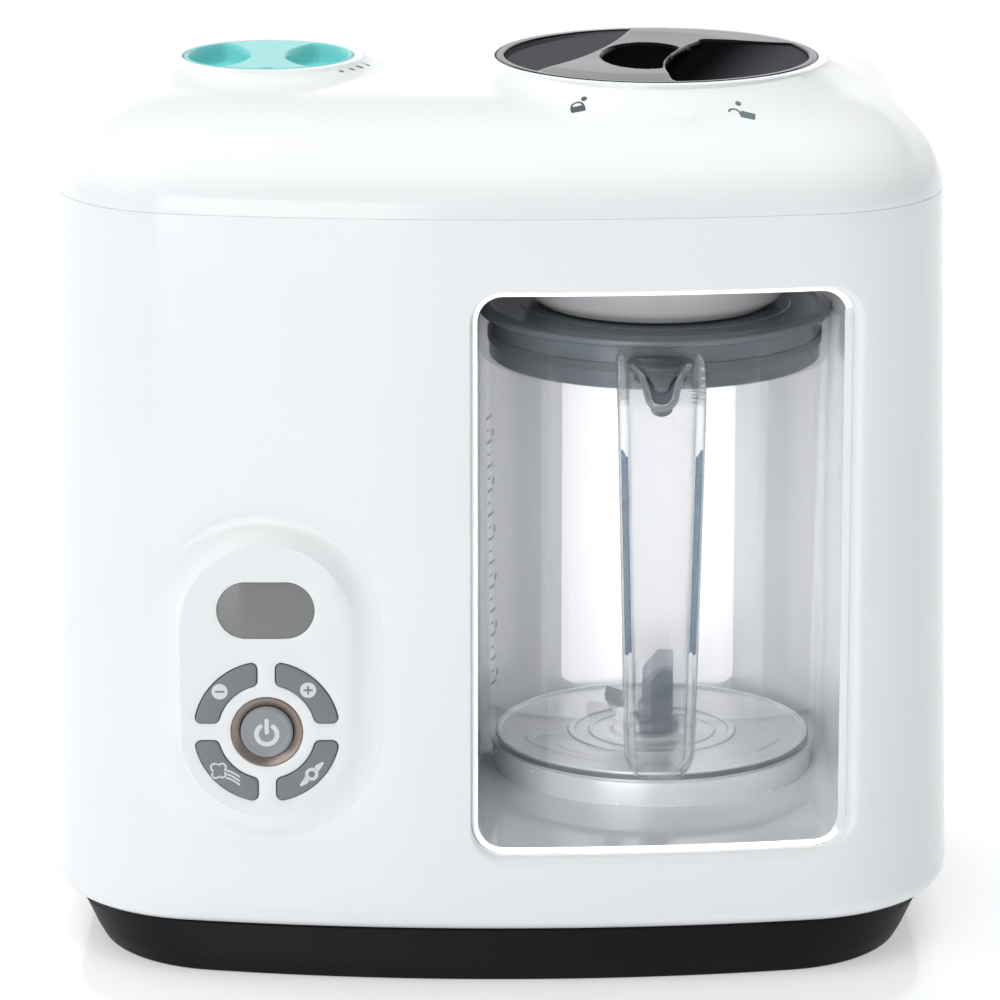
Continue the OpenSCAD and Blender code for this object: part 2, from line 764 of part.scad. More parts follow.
module lift_guide() color(white) {
    slot_low = pin_z - pin_r - 0.6;
    slot_h = head_lift + 2 * pin_r + 1.2;
    at_jug() difference() {
        union() {
            tube(guide_r + guide_wall, guide_r, guide_z, guide_top_z);
            tube(guide_flange_r, guide_r, guide_top_z - guide_flange_t, guide_top_z);
        }
        for (a = [90, 270]) rotate(a) translate([guide_r - 2, -pin_r - 0.3, slot_low]) cube([8, 2 * pin_r + 0.6, slot_h]);
        for (a = head_screws) rotate(a) translate([guide_flange_r - 4, 0, 0]) rod(1.4, guide_z, far);
    }
}
module steam_head() color([0.85, 0.86, 0.87]) {
    cup_top = head_z + cup_h;
    stem_top = pin_z + 6;
    at_jug() difference() {
        lathe([[8, head_z], [head_r - 5, head_z], [head_r - 1.4, head_z + 1.6], [head_r, head_z + 6], [head_r, cup_top],
            [stem_r, cup_top], [stem_r, stem_top], [stem_r - 3, stem_top], [stem_r - 3, cup_top - cup_wall],
            [head_r - cup_wall, cup_top - cup_wall], [head_r - cup_wall, head_z + 7], [head_r - 7, head_z + 3],
            [8, head_z + 3]]);
        tube(27.1, 22.9, head_z - 1, head_z + 1.6);
        translate([pipe_x - jug_x, 0, 0]) rod(pipe_hole_r, cup_top - cup_wall - 1, far);
        for (a = [90, 270]) rotate(a) translate([0, 0, pin_z]) rotate([0, 90, 0]) cylinder(r = pin_r + 0.02, h = far);
    }
}
module lift_pins() color(steel) {
    at_jug() for (a = [90, 270]) rotate(a) translate([stem_r - 3.5, 0, pin_z]) rotate([0, 90, 0])
        cylinder(r = pin_r, h = guide_r + guide_wall - 0.5 - stem_r + 3.5);
}
module head_gasket() color(grey) {
    at_jug() tube(27, 23, head_z, head_z + 1.5);
}

module water_cap() color(teal) {
    low = well_z + seat_gap + 0.2;
    pocket_r = cap_r - rim_w + 0.5;
    at_cap() difference() {
        lathe([[0, low], [cap_r, low], [cap_r, rim_z - 0.8], [cap_r - 0.8, rim_z], [0, rim_z]]);
        for (s = [-1, 1]) translate([0, 0, rim_z - 7]) linear_extrude(far) intersection() {
            circle(pocket_r);
            translate([s * (1.15 * cap_r + 5), 0]) circle(1.15 * cap_r);
        }
        rod(4 + run_gap, low - 1, low + 4);
    }
}
module cap_bung() color(white) {
    low = well_z - bung_h;
    high = well_z + seat_gap;
    at_cap() difference() {
        lathe([[0, low], [bung_r - 1.5, low], [bung_r, low + 1.5], [bung_r, high], [4, high], [4, high + 3.6], [0, high + 3.6]]);
        tube(bung_r + 1, bung_r - 1.6, low + 4, low + 8);
    }
}
module cap_seal() color(grey) {
    low = well_z - bung_h;
    at_cap() lathe([[bung_r - 1.5, low + 4.1], [neck_in_r - 1, low + 4.1], [neck_in_r - seat_gap, low + 6],
        [neck_in_r - 1, low + 7.9], [bung_r - 1.5, low + 7.9]]);
}
module water_tank() color([0.9, 0.93, 0.95]) {
    top = well_z - well_floor - seat_gap;
    neck_r = neck_in_r + neck_wall;
    at_cap() difference() {
        lathe([[tank_r, tank_z], [tank_r, tank_top_z - 6], [tank_r - 6, tank_top_z], [neck_r, tank_top_z], [neck_r, top],
            [neck_in_r, top], [neck_in_r, tank_top_z - tank_wall], [tank_r - 6, tank_top_z - tank_wall],
            [tank_r - tank_wall, tank_top_z - 6 - tank_wall], [tank_r - tank_wall, tank_z]]);
        translate([steam_x - cap_x, 0, 0]) rod(pipe_in_r, tank_top_z - 4, far);
    }
}
module boiler_plate() color(steel) {
    at_cap() lathe([[0, tank_z - plate_t], [tank_r + 1, tank_z - plate_t], [tank_r + 1, tank_z - fix_gap],
        [tank_r - tank_wall, tank_z - fix_gap], [tank_r - 8, tank_z - 2], [0, tank_z - 2]]);
}
module heater_ring() color(steel) {
    at_cap() translate([0, 0, tank_z - plate_t - heater_tube_r - fix_gap]) rotate_extrude() translate([heater_r, 0]) circle(heater_tube_r);
}
module thermostat() color(charcoal) {
    high = tank_z - plate_t - fix_gap;
    at_cap() lathe([[0, high - 9], [7, high - 9], [7, high - 2], [10, high - 2], [10, high], [0, high]]);
}
module at_cradle_legs() {
    for (p = [[-tank_r - 2, 0], [tank_r / 2, -tank_r + 4], [tank_r + 2, 10]]) at_cap() translate([p[0], p[1], 0]) children();
}
module boiler_cradle() color(charcoal) {
    difference() {
        union() {
            at_cap() tube(tank_r + 1 + cradle_w, tank_r - 5, cradle_z - 3, cradle_z);
            at_cap() tube(tank_r + 1 + cradle_w, tank_r + 1 + seat_gap, cradle_z - 1, cradle_z + 8);
            at_cradle_legs() rod(leg_r, tray_z + fix_gap, cradle_z - 1);
        }
        at_cradle_legs() rod(1.2, 0, tray_z + 10);
    }
}
module steam_pipe() color([0.8, 0.82, 0.84]) {
    low = head_z + pipe_tail;
    translate([0, jug_y, 0]) {
        translate([steam_x, 0, 0]) tube(pipe_r, pipe_in_r, tank_top_z + fix_gap, steam_z - bend_r);
        translate([steam_x + bend_r, 0, steam_z - bend_r]) rotate([90, 0, 0]) elbow(90);
        translate([steam_x + bend_r, 0, steam_z]) rotate([0, 90, 0]) tube(pipe_r, pipe_in_r, 0, pipe_x - steam_x - 2 * bend_r);
        translate([pipe_x - bend_r, 0, steam_z - bend_r]) rotate([90, 0, 0]) elbow(0);
        translate([pipe_x, 0, 0]) tube(pipe_r, pipe_in_r, low, steam_z - bend_r);
    }
}
module elbow(a) {
    rotate(a) rotate_extrude(angle = 90) translate([bend_r, 0]) difference() {
        circle(pipe_r);
        circle(pipe_in_r);
    }
}

module motor_bracket() color(steel) {
    at_motor() difference() {
        union() {
            rod(motor_r + 2, bracket_z, bracket_z + bracket_t);
            for (a = bracket_post_angles) rotate(a) translate([bracket_post_r, 0, 0]) rod(6, bracket_z, bracket_z + bracket_t);
        }
        rod(bush_r + 6, 0, far);
        for (a = bracket_post_angles) rotate(a) translate([bracket_post_r, 0, 0]) rod(1.7, 0, far);
    }
}
module motor_can() color(steel) {
    at_motor() lathe([[bush_r + fix_gap, can_z], [motor_r, can_z], [motor_r, can_z + motor_h], [motor_r - can_wall, can_z + motor_h],
        [motor_r - can_wall, can_z + can_wall], [bush_r + 3, can_z + can_wall], [bush_r + 3, can_z + 7], [bush_r + fix_gap, can_z + 7]]);
}
module motor_magnets() color(charcoal) {
    out_r = motor_r - can_wall - fix_gap;
    at_motor() difference() {
        tube(out_r, out_r - magnet_t, can_z + 12, can_z + motor_h - 10);
        translate([-6, -far / 2, 0]) cube([12, far, far]);
    }
}
module motor_cap() color(charcoal) {
    high = can_z + motor_h;
    at_motor() lathe([[bush_r + fix_gap, high - 7], [bush_r + 3, high - 7], [bush_r + 3, high - cap_disc_t],
        [motor_r - can_wall - fix_gap, high - cap_disc_t], [motor_r - can_wall - fix_gap, high], [bush_r + fix_gap, high]]);
}
module motor_bushes() color(copper) {
    at_motor() {
        tube(bush_r, shaft_r + run_gap, can_z + 0.2, can_z + 6.8);
        tube(bush_r, shaft_r + run_gap, can_z + motor_h - 6.8, can_z + motor_h - 0.2);
    }
}
module motor_rotor() color(steel) {
    at_motor() {
        rod(shaft_r, shaft_low_z, can_z + motor_h + 12);
        rod(rotor_r, can_z + 16, can_z + motor_h - 16);
        rod(10, can_z + motor_h - 16.5, can_z + motor_h - 9);
    }
}
module motor_fan() color(white) {
    low = can_z + motor_h + 3;
    at_motor() difference() {
        union() {
            rod(motor_r - 4, low, low + 1.6);
            for (a = [0:45:315]) rotate(a) translate([8, -0.8, low]) cube([motor_r - 14, 1.6, 7]);
            rod(9, low, low + 7);
        }
        rod(shaft_r + 0.03, 0, far);
    }
}
module pulley(r) {
    difference() {
        union() {
            rod(r, pulley_z, pulley_z + pulley_h);
            for (z = [pulley_z, pulley_z + pulley_h - pulley_edge]) rod(r + pulley_edge_h, z, z + pulley_edge);
        }
        rod(shaft_r + 0.03, 0, far);
    }
}
module motor_pulley() color(steel) {
    at_motor() pulley(small_pulley_r);
}
// Path of the belt around both pulleys, at a given distance from them
function belt_path(grow) = let (run = [jug_x - motor_x, jug_y - motor_y], turn = atan2(run[1], run[0]),
        tilt = asin((big_pulley_r - small_pulley_r) / norm(run)))
    concat(arc([motor_x, motor_y], small_pulley_r + grow, turn + 90 + tilt, turn + 270 - tilt, 24),
        arc([jug_x, jug_y], big_pulley_r + grow, turn - 90 - tilt, turn + 90 + tilt, 48));
module drive_belt() color(rubber) {
    translate([0, 0, belt_z]) linear_extrude(belt_h) difference() {
        polygon(belt_path(belt_gap + belt_t));
        polygon(belt_path(belt_gap));
    }
}
module bearing_carrier() color(charcoal) {
    at_jug() difference() {
        union() {
            rod(carrier_r, carrier_z, carrier_z + carrier_t);
            rod(carrier_tube_r, carrier_low_z, carrier_z + eps);
        }
        rod(bush_r + fix_gap, 0, far);
    }
}
module drive_bush() color(copper) {
    at_jug() tube(bush_r, shaft_r + run_gap, carrier_low_z + 0.2, carrier_z + carrier_t - 0.3);
}
module drive_shaft() color(steel) {
    at_jug() {
        rod(shaft_r, shaft_low_z, dog_top_z - 2);
        difference() {
            translate([0, 0, pulley_z - nut_h - fix_gap]) cylinder(r = nut_r, h = nut_h, $fn = 6);
            rod(shaft_r - 0.5, 0, far);
        }
    }
}
module drive_pulley() color(charcoal) {
    at_jug() difference() {
        pulley(big_pulley_r);
        for (a = [0:60:300]) rotate(a) translate([big_pulley_r * 0.62, 0, 0]) rod(5, 0, far);
    }
}
module drive_dog() color(charcoal) {
    low = floor_z - liner_wall + 0.2;
    at_jug() difference() {
        union() {
            rod(dog_r, low, floor_z - 0.2);
            intersection() {
                translate([-dog_w / 2, -dog_l / 2, low]) cube([dog_w, dog_l, dog_top_z - low]);
                rod(dog_r - 0.2, 0, far);
            }
        }
        rod(shaft_r + 0.03, 0, dog_top_z - 1.8);
    }
}

module handle_front(inset) {
    half = handle_w / 2 - inset;
    end = handle_end_w / 2 - inset;
    low = handle_low_z + handle_end_w / 2;
    polygon([[-half, lid_top_z], [half, lid_top_z], [end, low], [-end, low]]);
    translate([0, low]) circle(end);
}
// Side view of a strap that runs out from the jug and down, between two depths from its back
module strap_side(d0, d1, low, start) {
    c = [handle_front_y + handle_bend_r, handle_top_z - handle_bend_r];
    r0 = handle_bend_r - handle_d + d0;
    r1 = handle_bend_r - handle_d + d1;
    translate(c) intersection() {
        difference() {
            circle(r1);
            circle(r0);
        }
        translate([-far, 0]) square(far);
    }
    translate([c[0] - r1, low]) square([r1 - r0, c[1] - low]);
    translate([c[0], c[1] + r0]) square([start - c[0], r1 - r0]);
}
module jug() color(clear) {
    at_jug() lathe([[jug_in_r, jug_foot_z], [jug_foot_r, jug_foot_z], [jug_top_r, jug_rim_z], [jug_top_r - jug_wall, jug_rim_z]]);
}
module jug_handle() color(clear) {
    difference() {
        intersection() {
            translate([jug_x, 0, 0]) along_x(-handle_w, handle_w) strap_side(0, handle_d, handle_low_z, jug_y);
            difference() {
                translate([jug_x, 0, 0]) along_y(-far, jug_y) handle_front(0);
                intersection() {
                    translate([jug_x, 0, 0]) along_y(-far, jug_y) handle_front(rail_w);
                    translate([jug_x, 0, 0]) along_x(-far, far) strap_side(web_t, handle_d + far / 20, handle_low_z - eps, jug_y - jug_top_r);
                }
            }
        }
        at_jug() lathe([[0, jug_foot_z], [jug_foot_r + fix_gap, jug_foot_z], [jug_top_r + fix_gap, jug_rim_z], [0, jug_rim_z]]);
    }
}
module jug_base() color([0.88, 0.88, 0.89]) {
    under = jug_floor_z - base_floor_t;
    at_jug() difference() {
        union() {
            lathe([[0, under], [base_skirt_r - base_skirt_t, under], [base_skirt_r - base_skirt_t, jug_z], [base_skirt_r - base_bevel, jug_z],
                [base_skirt_r, jug_z + base_bevel], [base_skirt_r, jug_foot_z - 0.1], [base_plug_r, jug_foot_z - 0.1],
                [base_plug_r, jug_floor_z + 2.5], [base_plug_r - 2.4, jug_floor_z + 2.5], [base_plug_r - 3.2, jug_floor_z], [0, jug_floor_z]]);
            tube(27.4, 26, jug_floor_z - eps, jug_floor_z + 0.8);
            rod(blade_bush_r + 3, under, hub_z - 0.5);
        }
        rod(blade_bush_r + fix_gap, 0, far);
        tube(base_plug_r + 1, base_plug_r - 1.2, jug_foot_z + 0.4, jug_foot_z + 2.4);
        translate([-dog_w / 2 - 1, 0, 0]) cube([dog_w + 2, far, dog_top_z + seat_gap + 0.4]);
    }
}
module jug_seal() color(grey) {
    at_jug() tube(jug_in_r - 0.1, base_plug_r - 1.15, jug_foot_z + 0.5, jug_foot_z + 2.3);
}
module jug_lid() color([0.33, 0.36, 0.38]) {
    groove_z = lid_z - 9;
    tongue_low = handle_top_z - handle_bend_r - 2;
    at_jug() difference() {
        lathe([[0, lid_top_z - 2.2], [skirt_out_r - skirt_t, lid_top_z - 2.2], [skirt_out_r - skirt_t, lid_z - lid_skirt],
            [skirt_out_r, lid_z - lid_skirt], [skirt_out_r, lid_z], [lid_r - 0.8, lid_z], [lid_r, lid_z + 0.8], [lid_r, lid_top_z - 1.2],
            [lid_r - 1.2, lid_top_z], [0, lid_top_z]]);
        tube(skirt_out_r + 1, skirt_out_r - 0.9, groove_z, groove_z + gasket_h);
        rod(steam_in_r, 0, far);
    }
    intersection() {
        translate([jug_x, 0, 0]) along_y(-far, jug_y) handle_front(rail_w + 0.5);
        union() {
            translate([jug_x, 0, 0]) along_x(-handle_w, handle_w)
                strap_side(web_t + tongue_gap, web_t + tongue_gap + tongue_t, tongue_low, jug_y - jug_top_r - 0.6);
            translate([jug_x - handle_w, jug_y - jug_top_r - 3.6, handle_top_z - handle_d + web_t + tongue_gap])
                cube([2 * handle_w, 3, lid_top_z - 0.4 - handle_top_z + handle_d - web_t - tongue_gap]);
            translate([jug_x - handle_w, jug_y - jug_top_r - 3.6, lid_z]) cube([2 * handle_w, 8, lid_t - 0.4]);
        }
    }
}
module lid_gasket() color(grey) {
    groove_z = lid_z - 9;
    at_jug() tube(gasket_r, skirt_out_r - 0.85, groove_z + 0.05, groove_z + gasket_h - 0.05);
}
module blade_bush() color(copper) {
    at_jug() tube(blade_bush_r, shaft_r + run_gap, jug_floor_z - base_floor_t, hub_z - 0.5);
}
module blade_shaft() color(steel) {
    at_jug() {
        rod(shaft_r, coupling_top_z - 1.4, blade_z + blade_t + 1);
        lathe([[0, blade_z + blade_t + 0.05], [5, blade_z + blade_t + 0.05], [5, blade_z + blade_t + 3], [3, blade_z + blade_t + 5.5],
            [0, blade_z + blade_t + 6]]);
    }
}
module blade_coupling() color(charcoal) {
    slot = dog_w + 2 * coupling_gap;
    at_jug() difference() {
        rod(coupling_r, coupling_z, coupling_top_z);
        translate([-slot / 2, -far / 2, 0]) cube([slot, far, dog_top_z + 0.4]);
        rod(shaft_r + 0.03, 0, far);
    }
}
module chopping_blade() color(steel) {
    root = -8;
    wing = 12.5;
    slope = 55;
    front = -9.4;
    left = -3.4;
    at_jug() difference() {
        union() {
            rod(9, hub_z, blade_z);
            translate([0, 0, blade_z - 0.3]) linear_extrude(blade_t + 0.3) {
                circle(7);
                translate([left - 0.2, front - 0.2]) square([blade_w + 0.4, -front]);
                translate([root - 0.8, -4.2]) square([-root, blade_w - 1.6]);
            }
            along_y(front, front + blade_t) translate([left, blade_z + 0.1]) polygon([[0, 0], [blade_w, 0],
                [blade_w, tall_wing - 1], [blade_w - 1, tall_wing], [blade_w / 2, tall_wing], [0, tall_wing - 4]]);
            translate([root, -4, blade_z - 0.1]) rotate([0, slope, 0]) translate([-wing, 0, 0]) cube([wing, blade_w - 2, blade_t]);
        }
        rod(shaft_r + 0.03, 0, far);
    }
}
module cord_gland() color(rubber) {
    translate([gland_x, 0, gland_z]) difference() {
        union() {
            along_y(gland_y - 12, gland_y - 0.4) circle(gland_r);
            along_y(gland_y - wall - 3, gland_y - wall - 0.4) circle(gland_r + 2.5);
        }
        along_y(-far, far) circle(cord_r);
    }
}

base_tray();
rubber_feet();
case_screws();
front_panel();
rear_shell();
top_cover();
niche_liner();
niche_back_panel();
control_bezel();
display_window();
control_board();
board_parts();
minus_key();
plus_key();
steam_key();
blend_key();
power_key();
power_ring();
lock_dial();
cam_sleeve();
dial_screws();
sleeve_clip();
lift_guide();
steam_head();
lift_pins();
head_gasket();
water_cap();
cap_bung();
cap_seal();
water_tank();
boiler_plate();
heater_ring();
thermostat();
boiler_cradle();
steam_pipe();
motor_bracket();
motor_can();
motor_magnets();
motor_cap();
motor_bushes();
motor_rotor();
motor_fan();
motor_pulley();
drive_belt();
bearing_carrier();
drive_bush();
drive_shaft();
drive_pulley();
drive_dog();
jug();
jug_handle();
jug_base();
jug_seal();
jug_lid();
lid_gasket();
blade_bush();
blade_shaft();
blade_coupling();
chopping_blade();
cord_gland();
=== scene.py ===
"""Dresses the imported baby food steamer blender: shells, controls, jug, finishes, light and camera.

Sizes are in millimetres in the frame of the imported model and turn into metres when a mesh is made.
"""

import json
import logging
import math
from collections.abc import Callable, Sequence
from dataclasses import dataclass, field
from enum import Enum
from functools import cached_property

import bmesh
import bpy
import numpy as np
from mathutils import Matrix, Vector
from mathutils.geometry import delaunay_2d_cdt


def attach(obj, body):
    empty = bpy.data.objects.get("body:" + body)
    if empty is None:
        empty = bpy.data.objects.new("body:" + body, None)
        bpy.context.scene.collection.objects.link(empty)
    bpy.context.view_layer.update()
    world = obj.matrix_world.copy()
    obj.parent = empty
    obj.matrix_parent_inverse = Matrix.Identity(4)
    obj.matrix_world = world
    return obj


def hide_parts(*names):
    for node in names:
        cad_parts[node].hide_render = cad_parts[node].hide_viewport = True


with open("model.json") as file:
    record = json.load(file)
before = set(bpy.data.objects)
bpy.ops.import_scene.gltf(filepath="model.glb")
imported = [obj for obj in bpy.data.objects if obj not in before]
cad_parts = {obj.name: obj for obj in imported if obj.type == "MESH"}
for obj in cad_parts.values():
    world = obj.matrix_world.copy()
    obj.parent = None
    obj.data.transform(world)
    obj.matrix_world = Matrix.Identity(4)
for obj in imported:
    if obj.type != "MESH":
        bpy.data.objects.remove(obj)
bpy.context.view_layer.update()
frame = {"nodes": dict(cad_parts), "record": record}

LOG = logging.getLogger("steamer_blender")
MM = 0.001
WELD = 0.002
TINY = 1e-7
INSIDE_ONLY = 1
ROW_PITCH = 0.87
RIM_CLEAR = 0.55
CRISP = 38.0
MATT = 0.5
TONE_SCALE = 16.0
TONE_ENDS = (0.3, 0.7)
ROUGH_SPREAD = 0.15
BUMP_DEPTH = 0.0002
COAT_ROUGHNESS = 0.05
RING_SCALE = 420.0
RING_WANDER = 1.5
BRUSH_STRETCH = (0.06, 0.06, 1.0)

Pair = tuple[float, float]
Triple = tuple[float, float, float]
Points = np.ndarray
Lift = Callable[[Points], Points]
Socket = bpy.types.NodeSocket
Node = bpy.types.Node
Tree = bpy.types.NodeTree
Piece = bpy.types.Object


def stand(name: str, data: bpy.types.ID) -> Piece:
    """Adds an object with some data to the scene, at the origin."""
    piece = bpy.data.objects.new(name, data)
    bpy.context.scene.collection.objects.link(piece)
    return piece


def feed(tree: Tree, node: Node, inputs: dict[str | int, object]) -> None:
    """Sets each named input of a node, or links it where a socket is given."""
    for label, value in inputs.items():
        if isinstance(value, Socket):
            tree.links.new(value, node.inputs[label])
        else:
            node.inputs[label].default_value = value


def add_node(tree: Tree, kind: str, inputs: dict[str | int, object], **setup: str) -> Node:
    """Adds a node to a tree.

    Args:
        tree: the tree.
        kind: the node's type.
        inputs: a value, or a socket to link, for each input that changes.
        setup: settings of the node itself.

    Returns:
        The new node.
    """
    made = tree.nodes.new(kind)
    for label, value in setup.items():
        setattr(made, label, value)
    feed(tree, made, inputs)
    return made


class Grain(Enum):
    """How a surface was finished."""

    MOULDED = "moulded"
    SATIN = "satin"
    BRUSHED = "brushed"
    TURNED = "turned"


GRAIN_SCALE = {Grain.MOULDED: 260.0, Grain.SATIN: 1500.0, Grain.BRUSHED: 600.0}


class Join(Enum):
    """What a boolean does with its second solid."""

    ADD = "UNION"
    CUT = "DIFFERENCE"


class Share(Enum):
    """Which pieces a lamp lights: only the named ones, or all but those."""

    ONLY = "INCLUDE"
    ALL_BUT = "EXCLUDE"


@dataclass(frozen=True)
class Finish:
    """One surface finish and the node material that shows it."""

    name: str
    colour: tuple[int, int, int]
    roughness: float = 0.3
    grain: Grain = Grain.MOULDED
    metallic: float = 0.0
    coat: float = 0.0
    clear: float = 0.0
    cover: float = 1.0
    ior: float = 1.5
    glow: float = 0.0
    sway: float = 0.03
    bump: float = 0.05
    shine: float = 0.5
    # Colour of recess floors; on the dial it is a grey painted sheen.
    recess: tuple[int, int, int] | None = None
    recess_roughness: float = 0.5

    @staticmethod
    def linear(colour: Sequence[float], gain: float = 1.0) -> tuple[float, float, float, float]:
        """Turns a display colour into the shader's linear one.

        Args:
            colour: red, green and blue from 0 to 255.
            gain: factor on the linear colour.

        Returns:
            Red, green, blue and an alpha of one.
        """
        parts = [c / 255 for c in colour]
        raw = [p / 12.92 if p <= 0.04045 else ((p + 0.055) / 1.055) ** 2.4 for p in parts]
        return (*[min(1.0, gain * r) for r in raw], 1.0)

    def material(self) -> bpy.types.Material:
        """Builds the material once and returns it after that."""
        known = bpy.data.materials.get(self.name)
        if known:
            return known
        material = bpy.data.materials.new(self.name)
        material.use_nodes = True
        tree = material.node_tree
        place = tree.nodes.new("ShaderNodeTexCoord").outputs["Object"]
        grain = self._grain(tree, place)
        broad = add_node(tree, "ShaderNodeTexNoise", {"Vector": place, "Scale": TONE_SCALE, "Detail": 3.0})
        tone = add_node(tree, "ShaderNodeValToRGB", {"Fac": broad.outputs["Fac"]})
        gains = (1 - self.sway, 1 + self.sway)
        for end, position, gain in zip(tone.color_ramp.elements, TONE_ENDS, gains):
            end.position = position
            end.color = self.linear(self.colour, gain)
        spread = add_node(tree, "ShaderNodeMapRange", {
            "Value": grain, "To Min": (1 - ROUGH_SPREAD) * self.roughness,
            "To Max": (1 + ROUGH_SPREAD) * self.roughness})
        colour, rough = tone.outputs["Color"], spread.outputs["Result"]
        bump = add_node(tree, "ShaderNodeBump", {"Height": grain, "Strength": self.bump,
                                                 "Distance": BUMP_DEPTH})
        shader = tree.nodes["Principled BSDF"]
        feed(tree, shader, {"Base Color": colour, "Roughness": rough, "Metallic": self.metallic,
                            "Coat Weight": self.coat, "Coat Roughness": COAT_ROUGHNESS,
                            "Transmission Weight": self.clear, "IOR": self.ior, "Alpha": self.cover,
                            "Specular IOR Level": self.shine, "Normal": bump.outputs["Normal"]})
        if self.recess:
            feed(tree, shader, self._recessed(tree, colour, rough))
        if self.glow:
            feed(tree, shader, {"Emission Strength": self.glow, "Emission Color": colour})
        return material

    def _grain(self, tree: Tree, place: Socket) -> Socket:
        """Adds the texture of the grain.

        Args:
            tree: the material's tree.
            place: the Object coordinates.

        Returns:
            A value from 0 to 1 that follows the grain.
        """
        stretch = add_node(tree, "ShaderNodeMapping", {"Vector": place})
        way = stretch.outputs["Vector"]
        if self.grain is Grain.TURNED:
            stretch.inputs["Location"].default_value = (-AT.jug_x * MM, -AT.jug_y * MM, 0.0)
            rings = add_node(tree, "ShaderNodeTexWave", {
                "Vector": way, "Scale": RING_SCALE, "Distortion": RING_WANDER},
                wave_type="RINGS", rings_direction="Z")
            return rings.outputs["Fac"]
        if self.grain is Grain.BRUSHED:
            stretch.inputs["Scale"].default_value = BRUSH_STRETCH
        noise = add_node(tree, "ShaderNodeTexNoise", {"Vector": way, "Scale": GRAIN_SCALE[self.grain],
                                                      "Detail": 2.0})
        return noise.outputs["Fac"]

    def _recessed(self, tree: Tree, colour: Socket, rough: Socket) -> dict[str, Socket]:
        """Gives the floors of recesses a matt look and a grey painted sheen.

        Args:
            tree: the material's tree.
            colour: colour of the raised faces.
            rough: roughness of the raised faces.

        Returns:
            The shader's inputs that change over with the mesh's recess values.
        """
        value = add_node(tree, "ShaderNodeAttribute", {}, attribute_name="recess").outputs["Fac"]
        part = add_node(tree, "ShaderNodeMapRange", {"Value": value, "From Min": MATT})
        tint = add_node(tree, "ShaderNodeMix", {0: part.outputs["Result"], 6: colour,
                                                7: self.linear(self.recess)}, data_type="RGBA")
        dull = add_node(tree, "ShaderNodeMix", {0: value, 2: rough, 3: self.recess_roughness})
        shine = add_node(tree, "ShaderNodeMapRange", {"Value": value, "From Max": MATT, "To Min": self.shine,
                                                      "To Max": 0.0})
        return {"Base Color": tint.outputs[2], "Roughness": dull.outputs[0],
                "Specular IOR Level": shine.outputs["Result"], "Coat Weight": shine.outputs["Result"]}


WHITE = Finish("white_gloss_plastic", (247, 249, 250), 0.16, sway=0.01, bump=0.015, coat=0.12)
NICHE_WHITE = Finish("niche_white_plastic", (240, 242, 244), 0.14, sway=0.012, bump=0.015, coat=0.3)
# The back panel glows: painted light that keeps it bright inside the shaded niche.
GLOWING_PANEL_WHITE = Finish("back_panel_painted_glow", (250, 250, 252), 0.35, sway=0.008, bump=0.01, glow=0.52)
CHARCOAL = Finish("charcoal_plastic", (13, 13, 17), 0.5, Grain.SATIN, sway=0.06, bump=0.12, shine=0.2)
# Recess floors turn grey past the matt black: a painted sheen, which in the finger scoop grows to the right
# as a painted reflection.
BLACK = Finish("black_dial_plastic", (12, 12, 15), 0.07, sway=0.05, bump=0.01, shine=0.3,
               recess=(82, 83, 87), recess_roughness=0.7)
TEAL = Finish("teal_cap_plastic", (120, 212, 210), 0.16, sway=0.03, bump=0.02, shine=0.2)
KEY = Finish("key_grey_rubber", (128, 131, 134), 0.45, Grain.SATIN, sway=0.04, bump=0.1)
POWER_KEY = Finish("power_key_rubber", (150, 153, 156), 0.3, Grain.SATIN, sway=0.04, bump=0.08)
PRINT_PALE = Finish("pale_print", (224, 229, 233), 0.5, Grain.SATIN, sway=0.02)
PRINT_DARK = Finish("dark_print", (88, 92, 96), 0.5, Grain.SATIN, sway=0.04)
PRINT_GREEN = Finish("green_grey_print", (110, 128, 126), 0.5, Grain.SATIN, sway=0.04)
RING = Finish("power_ring_bronze", (142, 130, 122), 0.25, Grain.SATIN, metallic=0.45, sway=0.08)
LCD = Finish("display_film", (126, 129, 125), 0.12, sway=0.04, bump=0.01, coat=0.4)
CLEAR = Finish("clear_jug_plastic", (250, 252, 253), 0.015, sway=0.004, bump=0.0,
               clear=1.0, cover=0.16, ior=1.46)
CLEAR_THICK = Finish("clear_handle_plastic", (246, 250, 253), 0.02, sway=0.004, bump=0.0,
                     clear=1.0, cover=0.5, ior=1.46)
# Dark blue on the clear rails' front faces: painted shade seen through the handle.
CLEAR_PAINTED_STREAK = Finish("clear_painted_dark_streak", (54, 74, 95), 0.03, sway=0.01, bump=0.0,
                    clear=0.6, cover=0.9, ior=1.46)
# Mostly clear, with a thin white diffuse layer that is a painted highlight making the bead read bright.
CLEAR_BEAD_HIGHLIGHT = Finish("clear_bead_painted_highlight", (250, 252, 255), 0.03, sway=0.005, bump=0.0,
                    clear=0.9, cover=0.7, ior=1.46)
LID = Finish("lid_grey_plastic", (86, 92, 97), 0.22, sway=0.04, bump=0.02, coat=0.2)
# Pale plastic darkened to grey: painted shade from the niche's top edge.
HEAD_SHADED = Finish("steam_head_painted_shade", (152, 153, 154), 0.2, sway=0.02, bump=0.02, coat=0.2)
BRIGHT = Finish("turned_bright_steel", (246, 247, 249), 0.2, Grain.TURNED, metallic=0.2,
                sway=0.03, bump=0.02)
